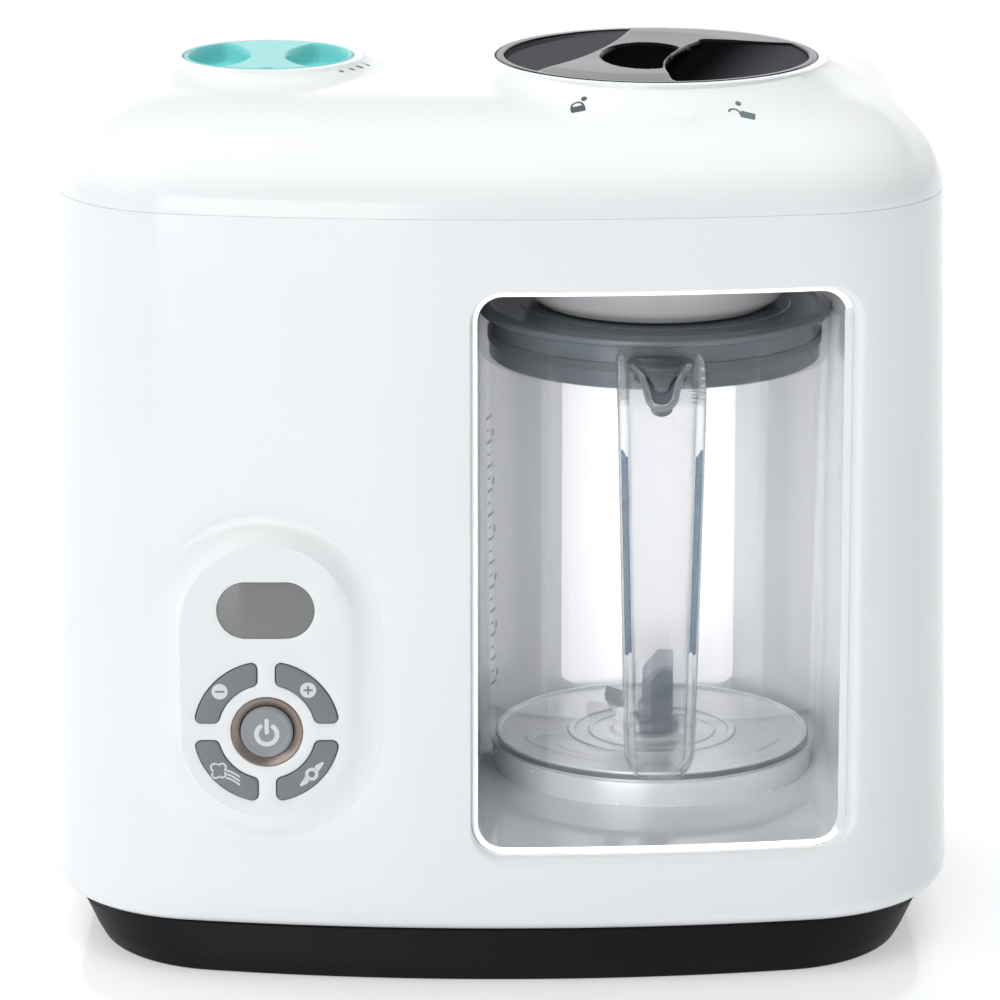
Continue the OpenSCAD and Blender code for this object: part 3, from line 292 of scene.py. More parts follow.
# Darker copy of the bright steel for the base's upright faces: painted shade.
BASE_SIDE_SHADE = Finish("base_side_painted_shade", (204, 206, 209), 0.3, Grain.TURNED, metallic=0.35,
                   sway=0.03, bump=0.02)
BLADE = Finish("blade_steel", (120, 128, 139), 0.3, Grain.BRUSHED, metallic=0.9, sway=0.05)
STEEL = Finish("drawn_steel", (180, 182, 186), 0.3, Grain.BRUSHED, metallic=1.0, sway=0.05)
NYLON = Finish("natural_nylon", (226, 228, 226), 0.42, Grain.SATIN, sway=0.03)
RUBBER = Finish("black_rubber", (26, 26, 27), 0.6, Grain.SATIN, sway=0.08, bump=0.15)
SILICONE = Finish("grey_silicone", (96, 102, 107), 0.5, Grain.SATIN, sway=0.05)
BRONZE = Finish("sintered_bronze", (166, 118, 72), 0.4, Grain.SATIN, metallic=1.0, sway=0.08)
BOARD = Finish("board_green", (26, 88, 52), 0.35, Grain.SATIN, sway=0.1)
FLOOR = Finish("studio_floor", (196, 197, 198), 0.1, sway=0.004, bump=0.0, glow=0.8)

SLOT_FINISH = {"charcoal": CHARCOAL, "black_rubber": RUBBER, "steel": STEEL, "white_gloss": WHITE,
               "niche_white": NICHE_WHITE, "display_grey": LCD, "board_green": BOARD, "key_grey": KEY,
               "black_gloss": BLACK, "nylon": NYLON, "bright_steel": BRIGHT, "head_grey": HEAD_SHADED,
               "silicone": SILICONE, "teal_gloss": TEAL, "bronze": BRONZE, "clear_plastic": CLEAR,
               "lid_grey": LID}


@dataclass(frozen=True)
class Datum:
    """Places that several sub-assemblies share."""

    jug_x: float = 50.0
    jug_y: float = 4.0
    cap_x: float = -74.0
    cap_y: float = 4.0
    seam_z: float = 244.5
    rim_z: float = 279.5
    well_z: float = 265.5
    floor_z: float = 42.0
    ceiling_z: float = 221.8
    niche_half: float = 59.0
    mouth_r: float = 10.0
    lip: float = 4.3
    panel_x: float = -72.6
    face_y: float = -92.5

    @property
    def jug_axis(self) -> Pair:
        """X and Y of the jug's axis, which the dial shares."""
        return self.jug_x, self.jug_y

    @property
    def cap_axis(self) -> Pair:
        """X and Y of the water cap's axis."""
        return self.cap_x, self.cap_y


AT = Datum()


def level(flat: Points, z: float | Points) -> Points:
    """Puts points of X and Y at a height."""
    return np.column_stack([flat, np.full(len(flat), z)])


def upright(flat: Points, y: float) -> Points:
    """Puts points of X and Z at a depth."""
    return np.column_stack([flat[:, 0], np.full(len(flat), y), flat[:, 1]])


def ease(low: float, high: float, value: Points) -> Points:
    """Smooth step from 0 at low to 1 at high."""
    t = np.clip((value - low) / (high - low), 0.0, 1.0)
    return t * t * (3 - 2 * t)


def smooth_max(a: Points, b: Points, reach: float) -> Points:
    """The larger of two heights, with a rounded change-over of that reach."""
    h = np.maximum(reach - np.abs(a - b), 0.0) / reach
    return np.maximum(a, b) + h * h * reach / 4


def arc(centre: Sequence[float], radius: float, start: float, end: float, steps: int) -> Points:
    """Points along an arc of a circle, with angles in degrees.

    Args:
        centre: middle of the circle.
        radius: its radius.
        start: first angle.
        end: last angle.
        steps: number of chords.

    Returns:
        An array of steps + 1 flat points.
    """
    angle = np.radians(np.linspace(start, end, steps + 1))
    return np.asarray(centre) + radius * np.stack([np.cos(angle), np.sin(angle)], 1)


def circle(centre: Sequence[float], radius: float, steps: int) -> Points:
    """A closed ring of flat points."""
    return arc(centre, radius, 0.0, 360.0, steps)[:-1]


def quarter(radius: float, turns: Sequence[float]) -> list[Pair]:
    """Steps of a quarter round: how far each one stands in from the side and from the top."""
    return [(radius * (1 - math.cos(a)), radius * (1 - math.sin(a))) for a in np.radians(turns)]


def beside(path: Points) -> Points:
    """Unit directions to the left of each point of a flat path."""
    run = np.gradient(path, axis=0)
    run /= np.linalg.norm(run, axis=1)[:, None]
    return np.stack([-run[:, 1], run[:, 0]], 1)


def rounded_rect(width: float, height: float, radius: float, turns: int = 10,
                 runs: int = 8) -> tuple[Points, Points]:
    """Outline of a rectangle with round corners about the origin, counter-clockwise.

    Args:
        width: size along the first axis.
        height: size along the second axis.
        radius: radius of the corners.
        turns: chords in each corner.
        runs: pieces of each straight run.

    Returns:
        The points and their outward directions.
    """
    half = np.array([width, height]) / 2 - radius
    signs = [(1, 1), (-1, 1), (-1, -1), (1, -1)]
    points, outward = [], []
    for k, sign in enumerate(signs):
        ways = arc((0, 0), 1.0, 90 * k, 90 * k + 90, turns)
        corner = half * sign + radius * ways
        nxt = half * signs[(k + 1) % 4] + radius * ways[-1]
        share = np.linspace(0, 1, runs + 1)[1:-1, None]
        points += [corner, corner[-1] * (1 - share) + nxt * share]
        outward += [ways, np.repeat(ways[-1:], runs - 1, 0)]
    return np.concatenate(points), np.concatenate(outward)


def fillet_path(corners: Sequence[Triple], closed: bool = True,
                steps: int = 5) -> Points:
    """A path of straight runs whose corners are rounded.

    Args:
        corners: place and rounding radius of each corner.
        closed: whether the last corner joins the first.
        steps: chords in each rounding.

    Returns:
        The points of the path.
    """
    place = [np.array(c[:2], float) for c in corners]
    path = []
    for k, (_, _, radius) in enumerate(corners):
        here = place[k]
        ends = not closed and k in (0, len(corners) - 1)
        if ends or radius <= 0:
            path.append(here[None])
            continue
        before = here - place[k - 1]
        after = place[(k + 1) % len(corners)] - here
        before, after = before / np.linalg.norm(before), after / np.linalg.norm(after)
        turn = math.acos(np.clip(before @ after, -1, 1))
        across = (after - math.cos(turn) * before) / math.sin(turn)
        angle = np.linspace(0, turn, steps + 1)[:, None]
        start = here - radius * math.tan(turn / 2) * before
        path.append(start + radius * (np.sin(angle) * before + (1 - np.cos(angle)) * across))
    return np.concatenate(path)


def inside(points: Points, loops: Sequence[Points]) -> Points:
    """Says which flat points lie inside an odd number of loops."""
    result = np.zeros(len(points), bool)
    for loop in loops:
        nxt = np.roll(loop, -1, 0)
        x0, y0, x1, y1 = loop[:, 0], loop[:, 1], nxt[:, 0], nxt[:, 1]
        px, py = points[:, :1], points[:, 1:]
        rise = np.where(y1 == y0, 1e-12, y1 - y0)
        crosses = ((y0 > py) != (y1 > py)) & (px < (x1 - x0) * (py - y0) / rise + x0)
        result ^= crosses.sum(1) % 2 == 1
    return result


def clearance(points: Points, loops: Sequence[Points]) -> Points:
    """Distance of flat points from the nearest edge of the loops."""
    best = np.full(len(points), np.inf)
    for loop in loops:
        a, b = loop[None], np.roll(loop, -1, 0)[None]
        run = b - a
        share = ((points[:, None] - a) * run).sum(2) / np.maximum((run * run).sum(2), 1e-12)
        near = a + np.clip(share, 0, 1)[..., None] * run
        best = np.minimum(best, np.linalg.norm(points[:, None] - near, axis=2).min(1))
    return best


class Skin:
    """A mesh in the making, in millimetres."""

    def __init__(self) -> None:
        """Starts with no points."""
        self.points: list[Points] = []
        self.faces: list[list[int]] = []
        self.total = 0

    def add(self, block: Points) -> Points:
        """Adds points and returns their numbers in the block's own layout."""
        flat = block.reshape(-1, 3)
        numbers = np.arange(self.total, self.total + len(flat))
        self.points.append(flat)
        self.total += len(flat)
        return numbers.reshape(block.shape[:-1])

    def sheet(self, rows: Points | Sequence[Points], around: bool = False) -> None:
        """Lays quads through a grid of points.

        Args:
            rows: points in rows and columns.
            around: whether the last column joins the first.
        """
        ids = self.add(np.array(rows, float))
        if around:
            ids = np.concatenate([ids, ids[:, :1]], 1)
        quads = np.stack([ids[:-1, :-1], ids[:-1, 1:], ids[1:, 1:], ids[1:, :-1]], -1)
        self.faces.extend(quads.reshape(-1, 4).tolist())

    def prism(self, rows: Sequence[Points], axes: tuple[int, int]) -> None:
        """Joins closed rows of points and fills the first and the last."""
        self.sheet(rows, around=True)
        for row in (rows[0], rows[-1]):
            self.fill([row], axes)

    def fill(self, loops: Sequence[Points], axes: tuple[int, int], lift: Lift | None = None,
             spacing: float = 0.0) -> None:
        """Fills an outer loop, less the loops inside it, with triangles.

        Args:
            loops: closed loops of points, the outer one first.
            axes: the two axes along which the loops are laid flat.
            lift: puts flat points back on the surface, where inner points are wanted.
            spacing: distance between inner points.
        """
        flat = [loop[:, axes] for loop in loops]
        rim = np.concatenate(flat)
        edges, start = [], 0
        for loop in flat:
            edges += [(start + i, start + (i + 1) % len(loop)) for i in range(len(loop))]
            start += len(loop)
        block = [np.concatenate(loops)]
        if lift and spacing:
            lo, hi = rim.min(0), rim.max(0)
            across = np.arange(lo[0], hi[0], spacing)
            grid = np.meshgrid(across, np.arange(lo[1], hi[1], spacing * ROW_PITCH))
            grid[0][1::2] += spacing / 2
            extra = np.stack([g.ravel() for g in grid], 1)
            extra = extra[inside(extra, flat)]
            extra = extra[clearance(extra, flat) > RIM_CLEAR * spacing]
            rim = np.concatenate([rim, extra])
            block.append(lift(extra))
        found = delaunay_2d_cdt([Vector(p) for p in rim], edges, [], INSIDE_ONLY, TINY)
        ids = self.add(np.concatenate(block))
        number = [ids[origin[0]] for origin in found[3]]
        corners = np.array([[rim[found[3][v][0]] for v in face] for face in found[2]])
        for face, cut in zip(found[2], inside(corners.mean(1), flat[1:])):
            if not cut:
                self.faces.append([int(number[v]) for v in face])

    def lathe(self, profile: Points, axis: Pair, steps: int) -> None:
        """Turns a closed profile of radius and height about an upright axis.

        Args:
            profile: radius and height of each point.
            axis: X and Y of the axis.
            steps: chords around.
        """
        ring = circle((0, 0), 1.0, steps)
        path = np.concatenate([profile, profile[:1]])
        rows = np.empty((len(path), steps, 3))
        rows[..., :2] = np.asarray(axis) + path[:, None, :1] * ring
        rows[..., 2] = path[:, 1:]
        self.sheet(rows, around=True)

    def tube(self, sections: Points | Sequence[Points]) -> None:
        """Joins closed sections with equal counts of points and caps both ends."""
        ids = self.add(np.array(sections, float))
        for a, b in zip(ids[:-1], ids[1:]):
            for i in range(len(a)):
                j = (i + 1) % len(a)
                self.faces.append([int(a[i]), int(a[j]), int(b[j]), int(b[i])])
        self.faces += [ids[0][::-1].tolist(), ids[-1].tolist()]

    def mesh(self, name: str, finish: Finish, wall: float = 0.0, edge: float = 0.0,
             facing: Triple = (0, 0, 1), sharp: float = CRISP) -> Piece:
        """Welds the points into an object.

        Args:
            name: the object's name.
            finish: its finish.
            wall: thickness that an open sheet gets behind its face.
            edge: rounding of the sheet's rims.
            facing: direction in which the sheet's furthest point faces; a closed mesh needs none.
            sharp: angle in degrees above which an edge stays crisp.

        Returns:
            The object, at the origin, in metres.
        """
        data = bpy.data.meshes.new(name)
        data.from_pydata(np.concatenate(self.points), [], self.faces)
        work = bmesh.new()
        work.from_mesh(data)
        bmesh.ops.remove_doubles(work, verts=work.verts, dist=WELD)
        bmesh.ops.dissolve_degenerate(work, edges=work.edges, dist=WELD / 4)
        loose = [v for v in work.verts if not v.link_faces]
        bmesh.ops.delete(work, geom=loose, context="VERTS")
        bmesh.ops.recalc_face_normals(work, faces=work.faces)
        if wall:
            self._thicken(work, wall, edge, Vector(facing))
        bmesh.ops.scale(work, vec=(MM, MM, MM), verts=work.verts)
        for face in work.faces:
            face.smooth = True
        work.to_mesh(data)
        work.free()
        data.set_sharp_from_angle(angle=math.radians(sharp))
        data.materials.append(finish.material())
        return stand(name, data)

    @staticmethod
    def _thicken(work: bmesh.types.BMesh, wall: float, edge: float, facing: Vector) -> None:
        """Gives a sheet a back and closes its rims.

        Args:
            work: the sheet.
            wall: distance of the back.
            edge: rounding of the front rims.
            facing: direction in which the furthest point faces.
        """
        work.normal_update()
        furthest = max(work.verts, key=lambda v: v.co.dot(facing.normalized()))
        if furthest.normal.dot(facing) < 0:
            bmesh.ops.reverse_faces(work, faces=work.faces)
            work.normal_update()
        fronts = list(work.faces)
        rims = [e.link_loops[0] for e in work.edges if e.is_boundary]
        rim_edges = [loop.edge for loop in rims]
        bridges = [(loop.vert, loop.link_loop_next.vert) for loop in rims]
        back = {v: work.verts.new(v.co - wall * v.normal) for v in list(work.verts)}
        for face in fronts:
            work.faces.new([back[v] for v in reversed(face.verts)])
        for a, b in bridges:
            work.faces.new([b, a, back[a], back[b]])
        if edge:
            bmesh.ops.bevel(work, geom=rim_edges, offset=edge, offset_type="OFFSET", segments=3,
                            profile=0.5, affect="EDGES", clamp_overlap=True)


def settle(piece: Piece, body: str, slot: str, *nodes: str) -> None:
    """Rides a piece on its body and hides the nodes that it stands for."""
    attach(piece, body)
    if nodes:
        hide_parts(*nodes)
    LOG.info("%s rides on %s, %d faces", piece.name, body, len(piece.data.polygons))


def freeze(piece: Piece, step: bpy.types.Modifier) -> None:
    """Makes what a modifier shows the piece's own mesh and removes the modifier."""
    ready = piece.evaluated_get(bpy.context.evaluated_depsgraph_get())
    mesh = bpy.data.meshes.new_from_object(ready)
    piece.modifiers.remove(step)
    piece.data = mesh


def join(first: Piece, second: Piece, how: Join) -> None:
    """Applies an exact boolean to the first object and drops the second.

    Args:
        first: the object that is kept.
        second: the object that is joined to it or cut from it.
        how: whether it is joined or cut.
    """
    step = first.modifiers.new("join", "BOOLEAN")
    step.operation = how.value
    step.solver = "EXACT"
    step.object = second
    freeze(first, step)
    bpy.data.objects.remove(second)
    for face in first.data.polygons:
        face.use_smooth = True
    first.data.set_sharp_from_angle(angle=math.radians(CRISP))


@dataclass(frozen=True)
class BodyPlan:
    """Plan outline of the body: a bowed front, round corners and straight sides and back."""

    half_w: float = 139.2
    half_d: float = 89.0
    bow_r: float = 575.0
    front_r: float = 48.0
    back_r: float = 40.0
    draft: float = 1.3
    skirt_z: float = 16.5
    skirt_round: float = 8.5
    skirt_inset: float = 8.0

    @cached_property
    def bow_cy(self) -> float:
        """Y of the middle of the front's bow."""
        return self.bow_r - self.half_d

    @cached_property
    def front_cx(self) -> float:
        """X of the middle of a front corner."""
        return self.half_w - self.front_r

    @cached_property
    def front_cy(self) -> float:
        """Y of the middle of a front corner."""
        return self.bow_cy - math.sqrt((self.bow_r - self.front_r) ** 2 - self.front_cx ** 2)

    @cached_property
    def turn(self) -> float:
        """Angle of the bow's end from straight ahead, in radians."""
        return math.asin(self.front_cx / (self.bow_r - self.front_r))

    @cached_property
    def back_cx(self) -> float:
        """X of the middle of a back corner."""
        return self.half_w - self.back_r

    @cached_property
    def back_cy(self) -> float:
        """Y of the middle of a back corner."""
        return self.half_d - self.back_r

    def lean(self, z: Points) -> Points:
        """How far the wall stands out at a height because of its draft."""
        return (AT.seam_z - np.asarray(z)) * math.tan(math.radians(self.draft))

    def inset(self, z: Points) -> Points:
        """How far the wall stands inside the outline at the seam, at a height."""
        rise = np.clip((np.asarray(z) - self.skirt_z) / self.skirt_round, 0.0, 1.0)
        return self.skirt_inset * (1 - np.sqrt(1 - (1 - rise) ** 2)) - self.lean(z)

    def front_y(self, x: Points, t: Points) -> Points:
        """Y of the front at an X, for an outline that is inset by t."""
        x = np.abs(x)
        bow = self.bow_cy - np.sqrt((self.bow_r - t) ** 2 - x * x)
        corner = (self.front_r - t) ** 2 - np.maximum(x - self.front_cx, 0) ** 2
        corner = self.front_cy - np.sqrt(np.maximum(corner, 0))
        return np.where(x <= (self.bow_r - t) * math.sin(self.turn), bow, corner)

    def back_y(self, x: Points, t: Points) -> Points:
        """Y of the back at an X, for an outline that is inset by t."""
        corner = (self.back_r - t) ** 2 - np.maximum(np.abs(x) - self.back_cx, 0) ** 2
        return self.back_cy + np.sqrt(np.maximum(corner, 0))

    def ring(self, t: float) -> Points:
        """The whole outline, inset by t, counter-clockwise from the front."""
        bend = math.degrees(self.turn)
        front = arc((0, self.bow_cy), self.bow_r - t, 270, 270 + bend, 16)
        corner = arc((self.front_cx, self.front_cy), self.front_r - t, 270 + bend, 360, 14)[1:]
        side_y = np.linspace(self.front_cy, self.back_cy, 12)[1:-1]
        side = np.stack([np.full_like(side_y, self.half_w - t), side_y], 1)
        back = arc((self.back_cx, self.back_cy), self.back_r - t, 0, 90, 14)
        rear_x = np.linspace(self.back_cx, 0, 12)[1:]
        rear = np.stack([rear_x, np.full_like(rear_x, self.half_d - t)], 1)
        half = np.concatenate([front, corner, side, back, rear])
        other = half[1:-1][::-1] * (-1, 1)
        return np.concatenate([half, other])

    def reach(self, x: Points, y: Points) -> Points:
        """Signed measure of how far a flat point lies outside the outline."""
        x = np.abs(x)
        out = np.maximum(x - self.half_w, y - self.half_d)
        out = np.maximum(np.hypot(x, y - self.bow_cy) - self.bow_r, out)
        ahead = (y < self.front_cy) & (x - self.front_cx > (self.front_cy - y) * math.tan(self.turn))
        behind = (x > self.back_cx) & (y > self.back_cy)
        out = np.where(ahead, np.hypot(x - self.front_cx, y - self.front_cy) - self.front_r, out)
        return np.where(behind, np.hypot(x - self.back_cx, y - self.back_cy) - self.back_r, out)


PLAN = BodyPlan()


@dataclass
class BodyShell:
    """The white front panel and rear shell, with the niche's mouth and the hole for the controls."""

    wall: float = 2.5
    edge: float = 0.18
    patch: float = 118.0
    mouth_round: Pair = (0.6, 3.4)
    bezel_w: float = 72.3
    bezel_h: float = 103.8
    bezel_z: float = 99.0
    split_gap: float = 0.2
    gland: Triple = (-92.0, 34.0, 7.1)

    def __post_init__(self) -> None:
        """Works out the heights of the rows."""
        turn = np.linspace(0, math.pi / 2, 9)
        self.skirt = PLAN.skirt_z + PLAN.skirt_round * (1 - np.cos(turn))
        self.rows = np.linspace(self.skirt[-1], AT.seam_z, 45)
        self.levels = np.concatenate([self.skirt, self.rows[1:]])
        self.across = np.linspace(-self.patch, self.patch, 61)

    @staticmethod
    def front(flat: Points) -> Points:
        """Puts points of X and Z on the front."""
        x, z = flat.T
        return np.stack([x, PLAN.front_y(x, PLAN.inset(z)), z], 1)

    @staticmethod
    def rear(flat: Points) -> Points:
        """Puts points of X and Z on the back."""
        x, z = flat.T
        return np.stack([x, PLAN.back_y(x, PLAN.inset(z)), z], 1)

    def _patch(self, skin: Skin, lift: Lift, holes: Sequence[Points]) -> None:
        """Adds the broad face between the corners and the skirt below it.

        Args:
            skin: the mesh in the making.
            lift: puts points of X and Z on the face.
            holes: loops that stay open.
        """
        def row(x: Points, z: float | Points) -> Points:
            """Points on the face at places across and a height."""
            return lift(np.stack(np.broadcast_arrays(x, z), 1).astype(float))

        skin.sheet([row(self.across, z) for z in self.skirt])
        rim = [row(self.across, self.rows[0]), row(self.patch, self.rows)[1:],
               row(self.across[::-1], self.rows[-1])[1:], row(-self.patch, self.rows[::-1])[1:-1]]
        skin.fill([np.concatenate(rim), *holes], (0, 2), lift, 5.0)

    def _mouth(self, skin: Skin) -> Points:
        """Adds the rounded lip of the niche's mouth.

        Args:
            skin: the mesh in the making.

        Returns:
            The loop on the front where the rounding starts.
        """
        height = AT.ceiling_z - AT.floor_z
        flat, outward = rounded_rect(2 * AT.niche_half, height, AT.mouth_r, 12, 18)
        flat = flat + (AT.jug_x, AT.floor_z + height / 2)
        here = self.front(flat)
        run = self.front(flat - 0.1 * outward) - here
        run /= np.linalg.norm(run, axis=1)[:, None]
        turn = np.arccos(run[:, 1])[:, None]
        low, high = self.mouth_round
        radius = low + (high - low) * np.clip((1 + outward @ (1, -1)) / 2, 0, 1)[:, None]
        start = here - radius * np.tan(turn / 2) * run
        loop = self.front(start[:, [0, 2]])
        inward = np.array([0.0, 1.0, 0.0])
        rows = []
        for share in np.linspace(0, 1, 9):
            bend = turn * share
            along = (np.cos(turn - bend) - np.cos(turn)) / np.sin(turn)
            deep = (1 - np.cos(bend)) / np.sin(turn)
            bent = radius * (along * run + deep * inward)
            rows.append(start + (loop - start) * (1 - share) + bent)
        rim = rows[-1]
        for share in (0.5, 1.0):
            rows.append(rim + share * (here[:, 1] + AT.lip - rim[:, 1])[:, None] * inward)
        skin.sheet(rows, around=True)
        return loop

    def _front_corner(self, side: int) -> Points:
        """Rows of points round a front corner."""
        rows = []
        for z in self.levels:
            radius = PLAN.front_r - float(PLAN.inset(z))
            start = -math.degrees(math.acos((self.patch - PLAN.front_cx) / radius))
            flat = arc((PLAN.front_cx, PLAN.front_cy), radius, start, 0, 12)
            rows.append(level(flat * (side, 1), z))
        return np.array(rows)

    def _rear_corner(self, side: int) -> Points:
        """Rows of points along a side and round a back corner."""
        rows = []
        for z in self.levels:
            inset = float(PLAN.inset(z))
            radius = PLAN.back_r - inset
            run = np.linspace(PLAN.front_cy + self.split_gap, PLAN.back_cy, 9)[:-1]
            wall = np.stack([np.full_like(run, PLAN.half_w - inset), run], 1)
            end = math.degrees(math.acos((self.patch - PLAN.back_cx) / radius))
            corner = arc((PLAN.back_cx, PLAN.back_cy), radius, 0, end, 11)
            rows.append(level(np.concatenate([wall, corner]) * (side, 1), z))
        return np.array(rows)

    def build(self) -> None:
        """Makes both shells."""
        panel = Skin()
        bezel, _ = rounded_rect(self.bezel_w, self.bezel_h, self.bezel_w / 2, 14, 8)
        hole = self.front(bezel + (AT.panel_x, self.bezel_z))
        self._patch(panel, self.front, [self._mouth(panel), hole])
        for side in (-1, 1):
            panel.sheet(self._front_corner(side))
        piece = panel.mesh("front_panel_skin", WHITE, self.wall, self.edge, (0, -1, 0))
        settle(piece, "housing", "white_gloss", "front_panel")
        shell = Skin()
        gland_x, gland_z, gland_r = self.gland
        self._patch(shell, self.rear, [self.rear(circle((gland_x, gland_z), gland_r, 40))])
        for side in (-1, 1):
            shell.sheet(self._rear_corner(side))
        piece = shell.mesh("rear_shell_skin", WHITE, self.wall, self.edge, (0, 1, 0))
        settle(piece, "housing", "white_gloss", "rear_shell")


@dataclass(frozen=True)
class LockSign:
    """A printed padlock and the dot beside it.

    Attributes:
        name: the piece's name.
        finish: its print.
        middle: the middle of the padlock's body.
        dot: the middle of the dot.
        turn: the padlock's turn in degrees.
        shift: how far an open shackle stands to the left.
        foot: height of the shackle's foot above the body's middle.
    """

    name: str
    finish: Finish
    middle: Pair
    dot: Pair
    turn: float
    shift: float
    foot: float


@dataclass
class TopCover:
    """The crowned white cover with the collars of the dial and the cap."""

    low_z: float = 244.58
    top_z: float = 275.5
    side_reach: float = 42.0
    front_reach: float = 65.0
    back_reach: float = 40.0
    flare: float = 0.9
    flare_round: float = 8.0
    flare_drop: float = 1.7
    dial_bore: float = 51.65
    cap_bore: float = 27.45
    dial_hole: float = 27.5
    cap_hole: float = 21.3
    collar_w: float = 3.6
    wall: float = 1.5
    edge: float = 0.18
    ring_turn: float = 50.0
    print_t: float = 0.12
    print_proud: float = 0.06
    dot_r: float = 0.95
    lock_size: Pair = (4.6, 2.8)
    bow_out: Pair = (2.1, 2.0)
    bow_in: Pair = (1.45, 1.35)
    signs: tuple[LockSign, ...] = (
        LockSign("lock_sign", PRINT_DARK, (24.1, -55.3), (26.0, -51.1), 8.0, 0.0, 1.45),
        LockSign("unlock_sign", PRINT_GREEN, (76.6, -56.9), (73.75, -52.6), -6.0, 4.1, -0.4))
    dash_count: int = 4
    dash_size: Pair = (1.7, 0.75)
    dash_growth: Pair = (0.4, 0.15)
    dash_r: float = 32.8
    dash_start: float = -43.0
    dash_step: float = 8.6
    dash_lean: float = 24.0

    def reach(self, flat: Points) -> Points:
        """How far the crown's rounding reaches in along X and Y, as shares of the plan."""
        depth = np.where(flat[:, 1] < 0, self.front_reach, self.back_reach)
        return np.stack([np.full_like(depth, self.side_reach / PLAN.half_w), depth / PLAN.half_d], 1)

    def crown(self, flat: Points) -> Points:
        """Height of the plain crown above points of X and Y."""
        low, high = np.zeros(len(flat)), np.ones(len(flat))
        reach = self.reach(flat)
        for _ in range(32):
            mid = (low + high) / 2
            out = PLAN.reach(*(flat / (1 - reach * mid[:, None])).T) > 0
            low, high = np.where(out, low, mid), np.where(out, mid, high)
        return self.low_z + (self.top_z - self.low_z) * np.sqrt(1 - (1 - low) ** 2)

    def surface(self, flat: Points) -> Points:
        """Puts points of X and Y on the cover, collars included."""
        height = self.crown(flat)
        for axis, bore in ((AT.jug_axis, self.dial_bore), (AT.cap_axis, self.cap_bore)):
            away = np.linalg.norm(flat - axis, axis=1) - bore - self.collar_w
            height = smooth_max(height, AT.rim_z - self.flare_drop - self.flare * away, self.flare_round)
        return level(flat, height)

    def _collar(self, skin: Skin, axis: Pair, bore: float, hole: float) -> Points:
        """Adds a collar's top, bore and well floor, and returns its outer loop."""
        out = bore + self.collar_w
        loop = self.surface(circle(axis, out, 120))
        steps = [(out - 0.25, AT.rim_z - 0.25), (out - 0.8, AT.rim_z), (bore + 0.5, AT.rim_z),
                 (bore + 0.15, AT.rim_z - 0.15), (bore, AT.rim_z - 0.5), (bore, AT.well_z + 5),
                 (bore, AT.well_z), ((bore + hole) / 2, AT.well_z), (hole, AT.well_z)]
        rows = [loop] + [level(circle(axis, radius, 120), z) for radius, z in steps]
        skin.sheet(rows, around=True)
        return loop

    def build(self) -> None:
        """Makes the cover."""
        skin = Skin()
        outline = PLAN.ring(0.0)
        rows = []
        for turn in np.radians(np.linspace(0, self.ring_turn, 12)):
            flat = outline * (1 - self.reach(outline) * (1 - math.cos(turn)))
            rows.append(level(flat, self.low_z + (self.top_z - self.low_z) * math.sin(turn)))
        skin.sheet(rows, around=True)
        loops = [rows[-1], self._collar(skin, AT.jug_axis, self.dial_bore, self.dial_hole),
                 self._collar(skin, AT.cap_axis, self.cap_bore, self.cap_hole)]
        skin.fill(loops, (0, 1), self.surface, 2.6)
        piece = skin.mesh("top_cover_skin", WHITE, self.wall, self.edge)
        settle(piece, "housing", "white_gloss", "top_cover")
        self._marks()

    def _print(self, skin: Skin, loop: Points) -> None:
        """Adds a thin printed patch that lies on the cover."""
        proud = (0, 0, self.print_proud)
        skin.fill([self.surface(loop) + proud], (0, 1), lambda flat: self.surface(flat) + proud, 0.8)

    def _marks(self) -> None:
        """Prints the lock signs in front of the dial and the growing dashes beside the cap."""
        for sign in self.signs:
            skin = Skin()
            for loop in (circle(sign.dot, self.dot_r, 20), *self._padlock(sign)):
                self._print(skin, loop)
            settle(skin.mesh(sign.name, sign.finish, self.print_t), "housing", "charcoal")
        skin = Skin()
        for k in range(self.dash_count):
            angle = self.dash_start + k * self.dash_step
            middle = arc(AT.cap_axis, self.dash_r, angle, angle, 0)[0]
            size = [first + k * more for first, more in zip(self.dash_size, self.dash_growth)]
            dash, _ = rounded_rect(*size, 0.3, 3, 3)
            self._print(skin, self._spun(dash, -self.dash_lean) + middle)
        settle(skin.mesh("flow_dashes", PRINT_DARK, self.print_t), "housing", "charcoal")

    @staticmethod
    def _spun(loop: Points, turn: float) -> Points:
        """Turns a flat loop clockwise by an angle in degrees."""
        angle = math.radians(turn)
        cos, sin = math.cos(angle), math.sin(angle)
        return loop @ np.array([[cos, -sin], [sin, cos]])

    def _padlock(self, sign: LockSign) -> list[Points]:
        """Outlines of the body and the shackle of a padlock sign."""
        body, _ = rounded_rect(*self.lock_size, 0.4, 3, 3)
        bow = np.concatenate([arc((0, 0), 1.0, 0, 180, 12) * self.bow_out,
                              arc((0, 0), 1.0, 180, 0, 12) * self.bow_in])
        loops = (body, bow + (-sign.shift, sign.foot))
        return [np.asarray(sign.middle) + self._spun(loop, -sign.turn) for loop in loops]


